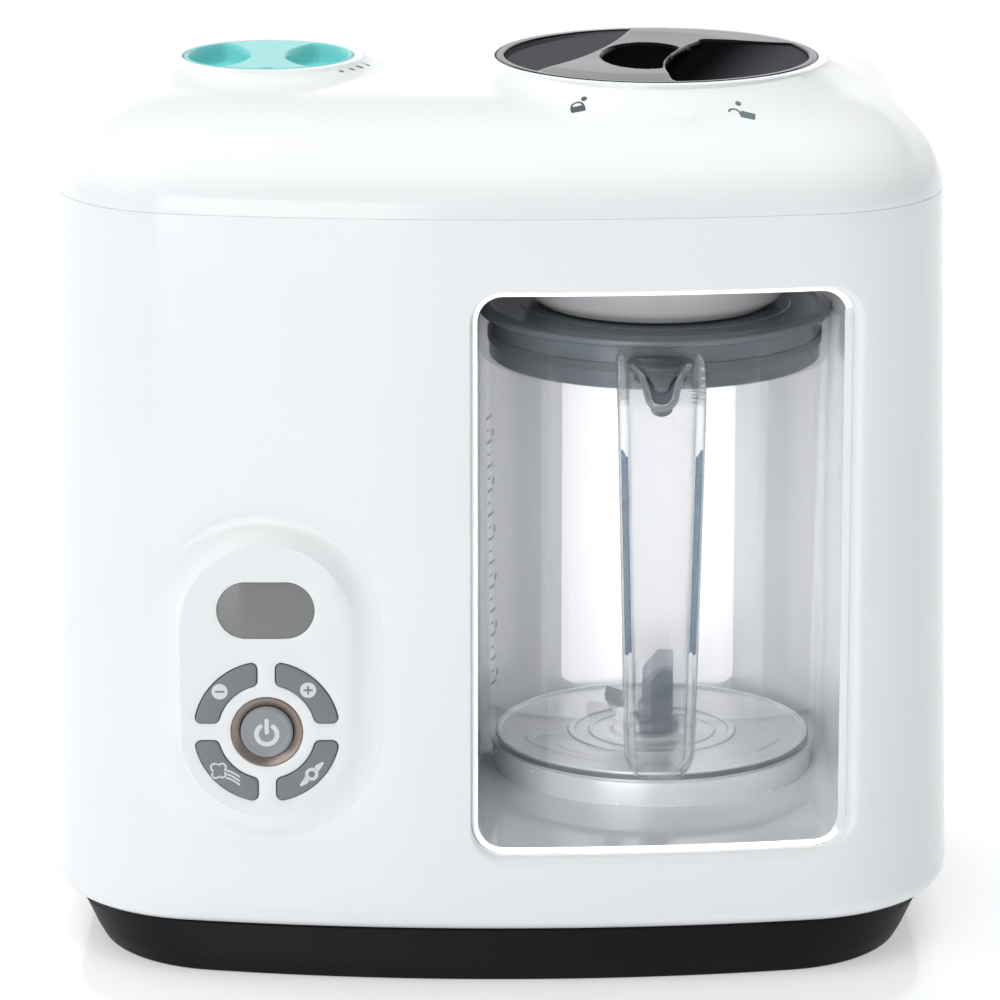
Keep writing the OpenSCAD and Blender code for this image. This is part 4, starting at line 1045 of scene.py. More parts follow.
@dataclass
class BaseTray:
    """The charcoal base with its vents and screw holes."""

    under_z: float = 0.15
    rim_z: float = 16.3
    inset: float = 5.9
    narrow: float = 0.988
    taper: float = 0.055
    bulge: float = 0.03
    wall: float = 2.4
    vent_w: float = 3.0
    vent_l: float = 20.0
    vent_count: int = 7
    vent_pitch: float = 8.0
    vent_at: Pair = (-102.0, -10.0)
    post_x: float = 42.0
    post_y: Pair = (-50.0, 48.0)
    screw_hole: float = 3.3

    def build(self) -> None:
        """Makes the base."""
        lean = float(PLAN.lean(PLAN.skirt_z))
        profile = fillet_path([
            (15.0, self.under_z, 0), (self.inset + 1.0, self.under_z, 1.2), (self.inset + 0.3, 5.0, 3.0),
            (self.inset, self.rim_z, 0.5), (11.0, self.rim_z, 0)], closed=False, steps=6)
        skin = Skin()
        rows = []
        for inset, z in profile:
            drop = (self.rim_z - z) / self.rim_z
            flat = PLAN.ring(inset - lean) * (self.narrow - self.taper * drop, 1 + self.bulge * drop)
            rows.append(level(flat, z))
        skin.sheet(rows, around=True)
        holes = []
        slot, _ = rounded_rect(self.vent_w, self.vent_l, self.vent_w / 2, 6, 4)
        for k in range(self.vent_count):
            left = self.vent_at[0] + k * self.vent_pitch
            holes.append(slot + (left + self.vent_w / 2, self.vent_at[1] + self.vent_l / 2))
        for side in (-1, 1):
            holes += [circle((AT.jug_x + side * self.post_x, y), self.screw_hole, 24) for y in self.post_y]
        under = [level(hole, self.under_z) for hole in holes]
        skin.fill([rows[0], *under], (0, 1), lambda p: level(p, self.under_z), 12.0)
        piece = skin.mesh("base_tray_skin", CHARCOAL, self.wall, 0.3, (0, 0, -1))
        settle(piece, "housing", "charcoal", "base_tray")


@dataclass
class Niche:
    """The white lining of the jug's niche and the panel on its back wall, whose glow is painted light."""

    back_y: float = 13.0
    head_hole: float = 44.0
    dog_hole: float = 13.0
    wall: float = 2.0
    lip_gap: float = 0.03
    panel_w: float = 60.0
    panel_z: Pair = (53.0, 214.3)
    panel_y: float = 63.6
    panel_t: float = 1.6
    panel_r: float = 6.0

    def mouth_y(self, x: Points, z: float) -> Points:
        """Y of the lining's front edge, just behind the lip of the front panel."""
        return PLAN.front_y(np.asarray(x), PLAN.inset(z)) + AT.lip + self.lip_gap

    def path(self, inset: float, z: float) -> Points:
        """The niche's U in plan at a height, from its left mouth edge round the back to the right."""
        half = AT.niche_half - inset
        sides = []
        for x in (AT.jug_x - half, AT.jug_x + half):
            run = np.linspace(float(self.mouth_y(x, z)), self.back_y, 16)[:-1]
            sides.append(np.stack([np.full_like(run, x), run], 1))
        bend = arc((AT.jug_x, self.back_y), half, 180, 0, 48)
        return np.concatenate([sides[0], bend, sides[1][::-1]])

    def build(self) -> None:
        """Makes the lining and the panel."""
        skin = Skin()
        low = [(inset, AT.floor_z + rise) for rise, inset in quarter(AT.mouth_r, np.linspace(0, 90, 9))]
        mid = [(0.0, z) for z in np.linspace(low[-1][1], AT.ceiling_z - AT.mouth_r, 20)[1:-1]]
        high = [(inset, AT.floor_z + AT.ceiling_z - z) for inset, z in reversed(low)]
        rows = [level(self.path(inset, z), z) for inset, z in [*low, *mid, *high]]
        skin.sheet(rows)
        for row, hole in ((rows[0], self.dog_hole), (rows[-1], self.head_hole)):
            z = row[0, 2]
            x = np.linspace(row[-1, 0], row[0, 0], 20)[1:-1]
            front = level(np.stack([x, self.mouth_y(x, z)], 1), z)
            ring = level(circle(AT.jug_axis, hole, 72), z)
            skin.fill([np.concatenate([row, front]), ring], (0, 1), lambda p, z=z: level(p, z), 8.0)
        piece = skin.mesh("niche_liner_skin", NICHE_WHITE, self.wall, 0.1, (0, 0, -1))
        settle(piece, "housing", "niche_white", "niche_liner")
        self._panel()

    def _panel(self) -> None:
        """Makes the panel on the back wall, which glows as painted light."""
        low, high = self.panel_z
        skin = Skin()
        middle = np.array([AT.jug_x, (low + high) / 2])

        def loop(inset: float, y: float) -> Points:
            """One outline of the panel."""
            width, height = self.panel_w - 2 * inset, high - low - 2 * inset
            flat, _ = rounded_rect(width, height, self.panel_r - inset, 8, 6)
            return upright(flat + middle, y)

        front = self.panel_y - self.panel_t
        rows = [loop(0, self.panel_y), loop(0, front + 0.5), loop(0.15, front + 0.15), loop(0.5, front)]
        skin.prism(rows, (0, 2))
        piece = skin.mesh("niche_back_panel_skin", GLOWING_PANEL_WHITE)
        settle(piece, "housing", "niche_white", "niche_back_panel")


@dataclass
class Controls:
    """The raised oval with its display, keys and printed signs."""

    foot_w: float = 72.5
    foot_h: float = 104.0
    face_w: float = 53.4
    face_h: float = 88.0
    middle_z: float = 99.0
    keys_z: float = 82.8
    keys_r: float = 22.6
    keys_in_r: float = 15.5
    keys_gap: float = 6.0
    key_corner: float = 1.7
    key_gap: float = 0.3
    key_proud: float = 0.5
    key_round: float = 0.45
    power_r: float = 8.2
    ring_r: float = 11.2
    display_w: float = 30.2
    display_h: float = 18.0
    display_z: float = 122.0
    display_y: Pair = (0.3, 2.5)
    display_edge: float = 0.2
    key_back: float = 3.6
    wall: float = 1.6
    flare: float = 1.12
    flare_power: float = 2.6
    flare_round: float = 0.4
    sink: float = 0.03
    print_proud: float = 0.04

    def sector(self, sx: int, sz: int, inset: float) -> Points:
        """Outline of one arc-shaped key with round corners, about the keys' middle."""
        out, low = self.keys_r - inset, self.keys_in_r + inset
        round_r = max(self.key_corner - inset, 0.2)
        mid = self.keys_gap / 2 + inset + round_r
        far = math.sqrt((out - round_r) ** 2 - mid ** 2)
        near = math.sqrt((low + round_r) ** 2 - mid ** 2)
        wide, slim = math.degrees(math.atan2(mid, far)), math.degrees(math.atan2(mid, near))
        path = [arc((mid, far), round_r, 180, 90 - wide, 6), arc((0, 0), out, 90 - wide, wide, 14)[1:-1],
                arc((far, mid), round_r, wide, -90, 6), arc((near, mid), round_r, -90, slim - 180, 6),
                arc((0, 0), low, slim, 90 - slim, 10)[1:-1], arc((mid, near), round_r, 270 - slim, 180, 6)]
        return np.concatenate(path) * (sx, sz)

    @staticmethod
    def at(flat: Points, y: float, z: float) -> Points:
        """Puts flat points about the panel's line at a depth and a height."""
        return upright(flat + (AT.panel_x, z), y)

    def button(self, outline: Callable[[float], Points], z: float, front: float, back: float,
               edge: float) -> Skin:
        """A closed prism with a rounded front edge.

        Args:
            outline: gives the outline for an inset.
            z: height of its middle.
            front: Y of its front.
            back: Y of its back.
            edge: rounding of the front edge.

        Returns:
            The mesh in the making.
        """
        skin = Skin()
        rows = [self.at(outline(0), back, z)]
        for inset, deep in quarter(edge, (0, 22.5, 45, 67.5, 90)):
            rows.append(self.at(outline(inset), front + deep, z))
        skin.prism(rows, (0, 2))
        return skin

    def window(self, inset: float) -> Points:
        """Outline of the display, drawn in by an inset."""
        width, height = self.display_w - 2 * inset, self.display_h - 2 * inset
        return rounded_rect(width, height, self.display_h / 2 - inset, 12, 4)[0]

    def build(self) -> None:
        """Makes the surround, the display, the keys and their signs."""
        self._surround()
        front, back = self.display_y
        display = self.button(self.window, self.display_z, AT.face_y + front, AT.face_y + back,
                              self.display_edge)
        settle(display.mesh("display_window_skin", LCD), "housing", "display_grey", "display_window")
        for name, sx, sz in (("minus", -1, 1), ("plus", 1, 1), ("steam", -1, -1), ("blend", 1, -1)):
            key = self.button(lambda d, sx=sx, sz=sz: self.sector(sx, sz, d), self.keys_z,
                              AT.face_y - self.key_proud, AT.face_y + self.key_back, self.key_round)
            settle(key.mesh(f"{name}_key_skin", KEY), name, "key_grey", f"{name}_key")
        self._power()
        self._signs()

    def _surround(self) -> None:
        """Makes the raised oval that flares out of the front."""
        skin = Skin()
        foot, _ = rounded_rect(self.foot_w, self.foot_h, self.foot_w / 2, 14, 8)
        face, _ = rounded_rect(self.face_w, self.face_h, self.face_w / 2, 14, 8)
        rows = []
        for share in np.linspace(0, 1, 21):
            flat = foot + (face - foot) * share + (AT.panel_x, self.middle_z)
            x, z = flat.T
            ground = PLAN.front_y(x, PLAN.inset(z))
            rise = np.array(-self.flare * share ** self.flare_power)
            lift = 1.0 if share == 1 else -float(smooth_max(rise, np.array(-1.0), self.flare_round))
            rows.append(np.column_stack([x, ground + (AT.face_y - ground) * lift - self.sink, z]))
        skin.sheet(rows, around=True)
        keys = [self.sector(sx, sz, -self.key_gap) for sx in (-1, 1) for sz in (-1, 1)]
        keys.append(circle((0, 0), self.ring_r + 0.1, 64))
        holes = [self.at(key, AT.face_y, self.keys_z) for key in keys]
        holes.append(self.at(self.window(-0.1), AT.face_y, self.display_z))
        skin.fill([rows[-1], *holes], (0, 2), lambda p: upright(p, AT.face_y), 4.0)
        piece = skin.mesh("control_bezel_skin", WHITE, self.wall, 0.2, (0, -1, 0))
        settle(piece, "housing", "white_gloss", "control_bezel")

    def _turned(self, profile: Points) -> Skin:
        """Turns a profile of radius and Y about the power key's axis."""
        skin = Skin()
        ring = circle((0, 0), 1.0, 72)
        loop = np.concatenate([profile, profile[:1]]) if profile[0, 0] > 0 else profile
        rows = [self.at(radius * ring, y, self.keys_z) for radius, y in loop]
        skin.sheet(rows, around=True)
        return skin

    def _power(self) -> None:
        """Makes the round power key and the ring around it."""
        y = AT.face_y
        profile = fillet_path([
            (0, y - 0.55, 0), (6.4, y - 0.7, 1.0), (7.4, y - 1.0, 0.6), (self.power_r, y - 0.2, 0.5),
            (self.power_r, y + self.key_back, 0), (0, y + self.key_back, 0)], steps=4)
        settle(self._turned(profile).mesh("power_key_skin", POWER_KEY), "power", "key_grey", "power_key")
        inner = self.power_r + self.key_gap
        profile = fillet_path([
            (inner, y + 2.4, 0), (inner, y + 0.8, 0.2), (inner + 1.4, y + 0.2, 0.4),
            (self.ring_r - 0.3, y - 0.2, 0.2), (self.ring_r, y + 0.2, 0.2),
            (self.ring_r, y + 2.4, 0)], steps=4)
        settle(self._turned(profile).mesh("power_ring_skin", RING), "housing", "charcoal", "power_ring")

    def _sign(self, body: str, y: float, shapes: Sequence[Sequence[Points]]) -> None:
        """Prints flat shapes on a key.

        Args:
            body: the body of the key.
            y: depth of the key's face.
            shapes: each shape as an outer loop and the loops cut from it.
        """
        skin = Skin()
        for shape in shapes:
            skin.fill([self.at(loop, y - self.print_proud, self.keys_z) for loop in shape], (0, 2))
        settle(skin.mesh(f"{body}_sign", PRINT_PALE, 0.1, 0.0, (0, -1, 0)), body, "key_grey")

    @staticmethod
    def stroke(path: Points, width: float) -> Points:
        """Outline of a line of some width with round ends."""
        side = beside(path)
        turn = np.degrees(np.arctan2(side[:, 1], side[:, 0]))
        head = arc(path[-1], width / 2, turn[-1] - 180, turn[-1], 6)[1:-1]
        tail = arc(path[0], width / 2, turn[0], turn[0] + 180, 6)[1:-1]
        side *= width / 2
        return np.concatenate([path - side, head, (path + side)[::-1], tail])

    def _signs(self) -> None:
        """Prints the signs of the five keys."""
        y = AT.face_y - self.key_proud
        line = np.linspace(0, 1, 8)[:, None]
        bar = self.stroke((-1.25, 0.0) + line * (2.5, 0.0), 0.62)
        cross = np.array([(-1.4, -.32), (-.32, -.32), (-.32, -1.4), (.32, -1.4), (.32, -.32), (1.4, -.32),
                          (1.4, .32), (.32, .32), (.32, 1.4), (-.32, 1.4), (-.32, .32), (-1.4, .32)])
        for name, mid, cut in (("minus", (-14.5, 13.2), bar), ("plus", (13.0, 13.7), cross)):
            self._sign(name, y, [[circle(mid, 2.5, 40), cut + mid]])
        ring = self.stroke(arc((0, -0.6), 3.2, 128, 412, 40), 1.45)
        post = self.stroke((0.0, 0.0) + line * (0.0, 3.9), 1.35)
        self._sign("power", AT.face_y - 0.62, [[ring], [post]])
        puff = [arc(centre, radius, start, end, 12) for centre, radius, start, end in
                (((-15.2, -10.6), 1.25, 60, 240), ((-15.0, -13.0), 1.1, 150, 330),
                 ((-12.9, -12.9), 1.0, 220, 400), ((-13.0, -10.6), 1.25, -40, 140))]
        trails = [np.stack([np.linspace(-11.6, -7.6, 12), start - np.linspace(0, 1, 12) ** 1.4 * drop], 1)
                  for start, drop in ((-11.6, 2.0), (-12.8, 2.2), (-14.0, 2.2))]
        nudge = np.array([-1.1, -0.8])
        self._sign("steam", y, [[self.stroke(path + nudge, 0.55)] for path in [*puff, *trails]])
        way = np.array([0.72, 0.69])
        across = np.array([-0.69, 0.72])
        middle = np.array([13.9, -13.6])
        shapes = [[circle(middle, 2.1, 36), circle(middle, 1.05, 24)]]
        wing = ((1.9, -0.9), (5.2, -0.1), (5.3, 0.55), (3.0, 1.25), (1.9, 0.9))
        for sign in (-1, 1):
            shapes.append([np.array([middle + sign * (way * u + across * v) for u, v in wing])])
        self._sign("blend", y, shapes)


@dataclass
class LockDial:
    """The black locking dial with its finger recesses."""

    radius: float = 51.3
    rim_w: float = 2.3
    edge: float = 0.8
    low_z: float = 265.8
    left_at: Pair = (-249.1, 101.1)
    left_r: float = 247.5
    dish_depth: Pair = (0.55, 2.6)
    dish_run: float = 42.0
    right_at: Pair = (100.0, -20.0)
    right_r: float = 98.0
    right_end: float = 31.0
    brow_lean: float = 0.16
    brow_wave: float = 2.2
    brow_pitch: float = 9.0
    brow_round: float = 3.0
    scoop_depth: float = 6.6
    scoop_start: float = 0.25
    scoop_run: float = 66.0
    shoal: float = 0.5
    shoal_x: Pair = (12.0, 48.0)
    pool_at: Pair = (-3.5, 0.5)
    pool_size: Pair = (14.5, 25.0)
    pool_depth: float = 5.2
    slope: float = 1.3
    slope_y: Pair = (-12.0, -48.0)
    dip: float = 0.7
    dip_at: Pair = (-6.0, 6.0)
    dip_area: float = 1500.0
    # Span, lean and strength of the scoop's grey painted reflection.
    sheen_x: Pair = (12.0, 46.0)
    sheen_lean: float = 0.35
    sheen_gain: float = 0.42

    def room(self, flat: Points) -> Points:
        """Distance of points from the dial's rim."""
        return self.radius - self.rim_w - np.linalg.norm(flat, axis=1)

    def right(self, flat: Points) -> Points:
        """Distance of points inside the scoop's round edge."""
        return self.right_r - np.linalg.norm(flat - self.right_at, axis=1)

    def dish(self, flat: Points) -> Points:
        """Depth of the satin recess on the left."""
        left = self.left_r - np.linalg.norm(flat - self.left_at, axis=1)
        edge, more = self.dish_depth
        floor = edge + more * np.clip(left / self.dish_run, 0, 1)
        return ease(0, 0.7, left) * ease(0, 1.3, self.room(flat)) * floor

    def scoop(self, flat: Points) -> Points:
        """Depth of the finger scoop on the right, which falls towards the front."""
        x, y = flat.T
        brow = self.right_end - self.brow_lean * x + self.brow_wave * np.sin(x / self.brow_pitch)
        fall = np.clip(self.scoop_start + (brow - y) / self.scoop_run, 0, 1)
        fall = ease(0, self.brow_round, brow - y) * fall
        near, far = self.shoal_x
        floor = self.scoop_depth * fall * (1 - self.shoal * np.clip((x - near) / (far - near), 0, 1))
        return ease(0, 1.4, self.right(flat)) * ease(0, 1.6, self.room(flat)) * floor

    def pool(self, flat: Points) -> Points:
        """Depth of the oval hollow beside the scoop."""
        oval = np.linalg.norm((flat - self.pool_at) / self.pool_size, axis=1)
        return self.pool_depth * np.clip(1 - oval ** 4, 0, 1) ** 0.7 * ease(0.3, 2.0, -self.right(flat))

    def depth(self, flat: Points) -> Points:
        """How far the top lies below the rim at points about the dial's axis."""
        near, far = self.slope_y
        front = self.slope * np.clip((flat[:, 1] - near) / (far - near), 0, 1) ** 2
        away = ((flat - self.dip_at) ** 2).sum(1)
        middle = self.dip * np.clip(1 - away / self.dip_area, 0, 1)
        crest = (front + middle) * ease(0, 1.3, self.room(flat))
        return self.dish(flat) + self.scoop(flat) + self.pool(flat) + crest

    def satin(self, flat: Points) -> Points:
        """How matt the top is: gloss at 0, matt black at a half and a grey painted sheen at 1; in the scoop
        the grey grows to the right as a painted reflection.
        """
        grey = MATT + self.sheen_gain * ease(*self.sheen_x, flat[:, 0] - self.sheen_lean * flat[:, 1])
        scoop = np.clip(self.scoop(flat) / 0.8, 0, 1) * grey
        pool = np.clip(self.pool(flat) / 0.8, 0, 1) * MATT
        return np.maximum(np.maximum(scoop, pool), np.clip(self.dish(flat) / 0.5, 0, 1))

    def build(self) -> None:
        """Makes the dial."""
        piece = height_disc("lock_dial_skin", BLACK, AT.jug_axis, self.radius, self.edge, self.low_z,
                            self.depth, self.satin)
        settle(piece, "dial", "black_gloss", "lock_dial")


@dataclass
class WaterCap:
    """The teal cap of the water tank with its grip bridge."""

    radius: float = 27.1
    pocket_r: float = 26.2
    edge: float = 0.9
    low_z: float = 266.0
    bowl_at: float = 36.4
    bowl_r: float = 31.0
    bowl_depth: float = 5.8
    bowl_lean: float = 0.03
    bowl_round: Pair = (-0.4, 3.0)
    pocket_round: float = 3.2
    mark_at: Pair = (0.8, -25.3)
    mark_size: Pair = (3.2, 0.9)
    mark_proud: float = 0.04

    def depth(self, flat: Points) -> Points:
        """How far the top lies below the rim at points about the cap's axis."""
        x, y = flat.T
        room = self.pocket_r - np.hypot(x, y)
        total = np.zeros(len(flat))
        for side in (-1, 1):
            bowl = self.bowl_r - np.hypot(x - side * (self.bowl_at + self.bowl_lean * y), y)
            total += self.bowl_depth * ease(*self.bowl_round, bowl) * ease(0, self.pocket_round, room)
        return total

    def build(self) -> None:
        """Makes the cap and the mark at its front."""
        piece = height_disc("water_cap_skin", TEAL, AT.cap_axis, self.radius, self.edge, self.low_z,
                            self.depth)
        settle(piece, "cap", "teal_gloss", "water_cap")
        dash, _ = rounded_rect(*self.mark_size, 0.4, 4, 3)
        mark = Skin()
        mark.fill([level(dash + AT.cap_axis + self.mark_at, AT.rim_z + self.mark_proud)], (0, 1))
        settle(mark.mesh("cap_mark", PRINT_DARK, 0.1), "cap", "charcoal")


def height_disc(name: str, finish: Finish, axis: Pair, radius: float, edge: float,
                low_z: float, depth: Lift, satin: Lift | None = None) -> Piece:
    """A round knob whose top follows a depth below the collars' rim.

    Args:
        name: the object's name.
        finish: its finish.
        axis: X and Y of its axis.
        radius: its radius.
        edge: rounding of its top edge.
        low_z: height of its underside.
        depth: depth of the top at points about the axis.
        satin: how matt the top is and where a grey painted sheen lies on it, for a finish that reads it.

    Returns:
        The object, with the recess values that its finish reads.
    """
    steps = 288
    ring = circle((0, 0), 1.0, steps)
    rows = []
    for r in np.concatenate([[0.0], np.linspace(0.4, radius - edge, 96)]):
        rows.append(level(r * ring + axis, AT.rim_z - depth(r * ring)))
    for deep, inset in quarter(edge, (22.5, 45, 67.5, 90)):
        rows.append(level((radius - inset) * ring + axis, AT.rim_z - deep))
    rows += [level(r * ring + axis, low_z) for r in (radius, 0.0)]
    skin = Skin()
    skin.sheet(rows, around=True)
    piece = skin.mesh(name, finish, sharp=50)
    if satin is None:
        return piece
    place = np.empty(3 * len(piece.data.vertices))
    piece.data.vertices.foreach_get("co", place)
    place = place.reshape(-1, 3) / MM
    matt = satin(place[:, :2] - axis) * (place[:, 2] > low_z + 1)
    piece.data.attributes.new("recess", "FLOAT", "POINT").data.foreach_set("value", matt)
    return piece


@dataclass
class Strap:
    """The line of the jug's handle: out from the rim, round a bend and down, measured along its middle."""

    start_y: float = -50.5
    front_y: float = -85.0
    top_z: float = 195.5
    depth: float = 10.0
    bend_r: float = 16.0
    low_z: float = 63.0
    top_w: float = 28.0
    end_w: float = 21.6
    top_points: int = 10

    @cached_property
    def bend_y(self) -> float:
        """Y of the middle of the bend."""
        return self.front_y + self.bend_r

    @cached_property
    def bend_z(self) -> float:
        """Z of the middle of the bend."""
        return self.top_z - self.bend_r

    @cached_property
    def lead(self) -> float:
        """Length of the level run."""
        return self.start_y - self.bend_y

    @cached_property
    def bend_l(self) -> float:
        """Length of the bend along the strap's middle."""
        return math.pi / 2 * (self.bend_r - self.depth / 2)

    @cached_property
    def length(self) -> float:
        """Length of the whole strap."""
        return self.lead + self.bend_l + self.bend_z - self.low_z

    def half(self, along: Points) -> Points:
        """Half the strap's width at a length along it."""
        drop = np.clip(np.asarray(along) - self.lead, 0, None) / (self.length - self.lead)
        return (self.top_w + (self.end_w - self.top_w) * drop) / 2

    def place(self, flat: Points, deep: Points) -> Points:
        """Bends points of length and width round the strap's line.

        Args:
            flat: length along the strap and place across it.
            deep: depth from the side that faces the jug.

        Returns:
            The points in the frame.
        """
        along, across = flat.T
        deep = np.broadcast_to(deep, along.shape)
        radius = self.bend_r - self.depth + deep
        turn = np.clip((along - self.lead) / self.bend_l, 0, 1) * math.pi / 2
        fall = np.maximum(along - self.lead - self.bend_l, 0)
        ahead = np.maximum(self.lead - along, 0)
        y = self.bend_y - radius * np.sin(turn) + ahead
        z = self.bend_z + radius * np.cos(turn) - fall
        return np.column_stack([AT.jug_x + across, y, z])

    def loop(self, inset: float, start: float, end: float, end_round: float, funnel: float = 0.0) -> Points:
        """Outline of the strap, or of a channel inset in it, as length and width.

        Args:
            inset: distance inside the strap's edges.
            start: length at which it starts.
            end: length at which it ends.
            end_round: share of the end's width that its rounding takes along the strap.
            funnel: how much narrower it gets towards its end.

        Returns:
            A closed loop.
        """
        tip = float(self.half(end)) - inset - funnel
        run = np.linspace(start, end - tip * end_round, 40)
        slim = funnel * (run - start) / (run[-1] - start)
        side = self.half(run) - inset - slim
        bend = arc((0, 0), 1.0, -90, 90, 20)[1:-1] * (tip * end_round, float(side[-1])) + (run[-1], 0)
        top = np.linspace(side[0], -side[0], self.top_points + 2)[1:-1]
        return np.concatenate([np.stack([run, -side], 1), bend, np.stack([run, side], 1)[::-1],
                               np.stack([np.full_like(top, start), top], 1)])


@dataclass(frozen=True)
class Wing:
    """One wing of the blade, which leaves the hub level and bends up.

    Attributes:
        way: direction in plan in which the wing leaves.
        sides: its edges across that direction.
        root: distance from the axis at which the bend starts.
        rise: angles of the wing and of its tip above level, in degrees.
        length: length of the wing past its bend.
        slant: how much lower the left corner of its tip is cut.
    """

    way: Pair
    sides: Pair
    root: float
    rise: Pair
    length: float
    slant: float


@dataclass
class Jug:
    """The clear jug with its handle, steel base, lid and blade."""

    foot_r: float = 54.0
    rim_r: float = 56.8
    wall: float = 2.4
    foot_z: float = 52.3
    rim_z: float = 196.0
    base_z: float = 42.3
    base_r: float = 52.4
    plug_r: float = 51.2
    floor_z: float = 54.1
    notch: Triple = (5.0, 20.0, 70.0)
    notch_h: float = 7.2
    upright_face: float = 0.7
    rail_w: float = 3.5
    rail_edge: float = 1.5
    lip: float = 4.0
    rail_slack: float = 0.3
    wall_slack: float = 0.1
    painted_streak_z: Pair = (106.0, 170.0)
    painted_streak_face: float = -0.75
    web_t: float = 3.2
    web_edge: float = 1.2
    bead_r: float = 1.1
    bead_inset: float = 1.5
    bead_deep: float = 3.0
    bead_funnel: float = 4.4
    bead_past: float = 5.0
    lid_r: float = 57.0
    lid_z: float = 196.3
    lid_top_z: float = 199.3
    skirt_r: float = 53.5
    skirt_low_z: float = 182.0
    inlet_r: float = 5.0
    hub_z: float = 55.4
    blade_z: float = 58.4
    blade_t: float = 1.5
    # Height below which the short wing is painted bright as a reflection.
    painted_reflection_h: float = 7.5
    wings: tuple[Wing, ...] = (Wing((0.0, -1.0), (-3.4, 6.6), 7.2, (88.0, 88.0), 23.6, 6.0),
                               Wing((-0.76, -0.65), (-4.6, 4.6), 10.0, (52.0, 112.0), 14.5, 0.0))
    strap: Strap = field(default_factory=Strap)

    def outer_r(self, z: float) -> float:
        """Radius of the wall's outside at a height."""
        return self.foot_r + (self.rim_r - self.foot_r) * (z - self.foot_z) / (self.rim_z - self.foot_z)

    def build(self) -> None:
        """Makes the jug's pieces."""
        self._glass()
        self._base()
        self._lid()
        self._blade()

    def _glass(self) -> None:
        """Makes the wall and the handle as one clear moulding, with dark streaks on the rails' fronts as
        painted shade.
        """
        profile = fillet_path([
            (self.foot_r - self.wall, self.foot_z, 0.5), (self.foot_r, self.foot_z, 0.7),
            (self.rim_r, self.rim_z, 0.9), (self.rim_r - self.wall, self.rim_z, 0.9)])
        skin = Skin()
        skin.lathe(profile, AT.jug_axis, 192)
        glass = skin.mesh("jug_clear", CLEAR)
        join(glass, self._handle(), Join.ADD)
        glass.data.materials.append(CLEAR_THICK.material())
        glass.data.materials.append(CLEAR_PAINTED_STREAK.material())
        for face in glass.data.polygons:
            x, y, z = face.center / MM
            half = float(self.strap.half(self.strap.length + self.strap.low_z - z))
            outside = math.hypot(x - AT.jug_x, y - AT.jug_y) > self.outer_r(z) + self.wall_slack
            rail = outside and abs(x - AT.jug_x) > half - self.rail_w - self.rail_slack
            ahead = face.normal.y < self.painted_streak_face
            # A dark streak on the rails' front faces between two heights: painted shade seen through the
            # clear plastic.
            painted_streak = rail and ahead and self.painted_streak_z[0] < z < self.painted_streak_z[1]
            face.material_index = 2 if painted_streak else int(rail)
        settle(glass, "jug", "clear_plastic", "jug", "jug_handle")

    def _handle(self) -> Piece:
        """Makes the handle as a bent tray that is open to the front."""
        strap, edge, curve = self.strap, self.rail_edge, self.web_edge
        whole, channel = (0, strap.length), (self.lip, strap.length - self.rail_w)
        falling, rising = (90, 60, 30, 0), (0, 30, 60, 90)
        bends = ((falling, whole, 0.0, edge, 0.0, edge), (rising, whole, 0.0, edge, strap.depth, -edge),
                 (falling, channel, self.rail_w, -0.8 * edge, strap.depth, -edge),
                 (rising, channel, self.rail_w, curve, self.web_t, curve))
        rows = []
        for turns, run, inset, widen, deep, sink in bends:
            for aside, below in quarter(1.0, turns):
                outline = strap.loop(inset + widen * aside, *run, 1.0)
                rows.append(strap.place(outline, deep + sink * below))
        skin = Skin()
        skin.sheet(rows, around=True)
        self._web(skin, strap.loop(edge, *whole, 1.0), rows[0], 0.0)
        self._web(skin, strap.loop(self.rail_w + curve, *channel, 1.0), rows[-1], self.web_t)
        return skin.mesh("handle_clear", CLEAR)

    def _web(self, skin: Skin, outline: Points, row: Points, deep: float) -> None:
        """Closes one face of the tray along its bend.

        Args:
            skin: the mesh in the making.
            outline: the face's outline as length and width.
            row: the same outline in the frame.
            deep: the face's depth in the strap.
        """
        sheet = Skin()
        sheet.fill([level(outline, 0.0)], (0, 1), lambda p: level(p, 0.0), 3.0)
        points = np.concatenate(sheet.points)
        bent = self.strap.place(points[:, :2], deep)
        bent[:len(row)] = row
        ids = skin.add(bent)
        skin.faces += [[int(ids[v]) for v in face] for face in sheet.faces]

    def _base(self) -> None:
        """Makes the steel base with its skirt and the rings of the jug's floor; its upright faces get a
        darker copy of the steel as painted shade.
        """
        z, out, plug = self.floor_z, self.base_r, self.plug_r
        seat = self.foot_z - 0.2
        profile = fillet_path([
            (0, z - 2.4, 0), (out - 3.2, z - 2.4, 0), (out - 3.2, self.base_z, 0),
            (out - 1.0, self.base_z, 0.5), (out, self.base_z + 1.6, 0.8), (out, seat, 0.5), (plug, seat, 0),
            (plug, z + 1.2, 0.4), (plug - 1.0, z + 1.2, 0.4), (plug - 1.6, z, 0.4), (27.8, z, 0.3),
            (27.4, z + 0.8, 0.3), (25.4, z + 0.8, 0.3), (25.0, z, 0.3), (21.0, z, 0.3), (20.6, z + 0.5, 0.2),
            (19.6, z + 0.5, 0.2), (19.2, z, 0.3), (14.0, z, 0.6), (12.5, z + 1.0, 0.6), (5.6, z + 1.0, 0.2),
            (5.6, z - 1.0, 0), (0, z - 1.0, 0)])
        skin = Skin()
        skin.lathe(profile, AT.jug_axis, 160)
        base = skin.mesh("jug_base_turned", BRIGHT)
        half, near, far = self.notch
        flat = np.array([(-half, near), (half, near), (half, far), (-half, far)]) + AT.jug_axis
        cut = Skin()
        cut.tube([level(flat, z) for z in (self.base_z - 2, self.base_z + self.notch_h)])
        join(base, cut.mesh("notch", BRIGHT), Join.CUT)
        # Faces that stand upright take the darker copy of the steel as painted shade.
        base.data.materials.append(BASE_SIDE_SHADE.material())
        for face in base.data.polygons:
            face.material_index = int(abs(face.normal.z) < self.upright_face)
        settle(base, "jug", "bright_steel", "jug_base")

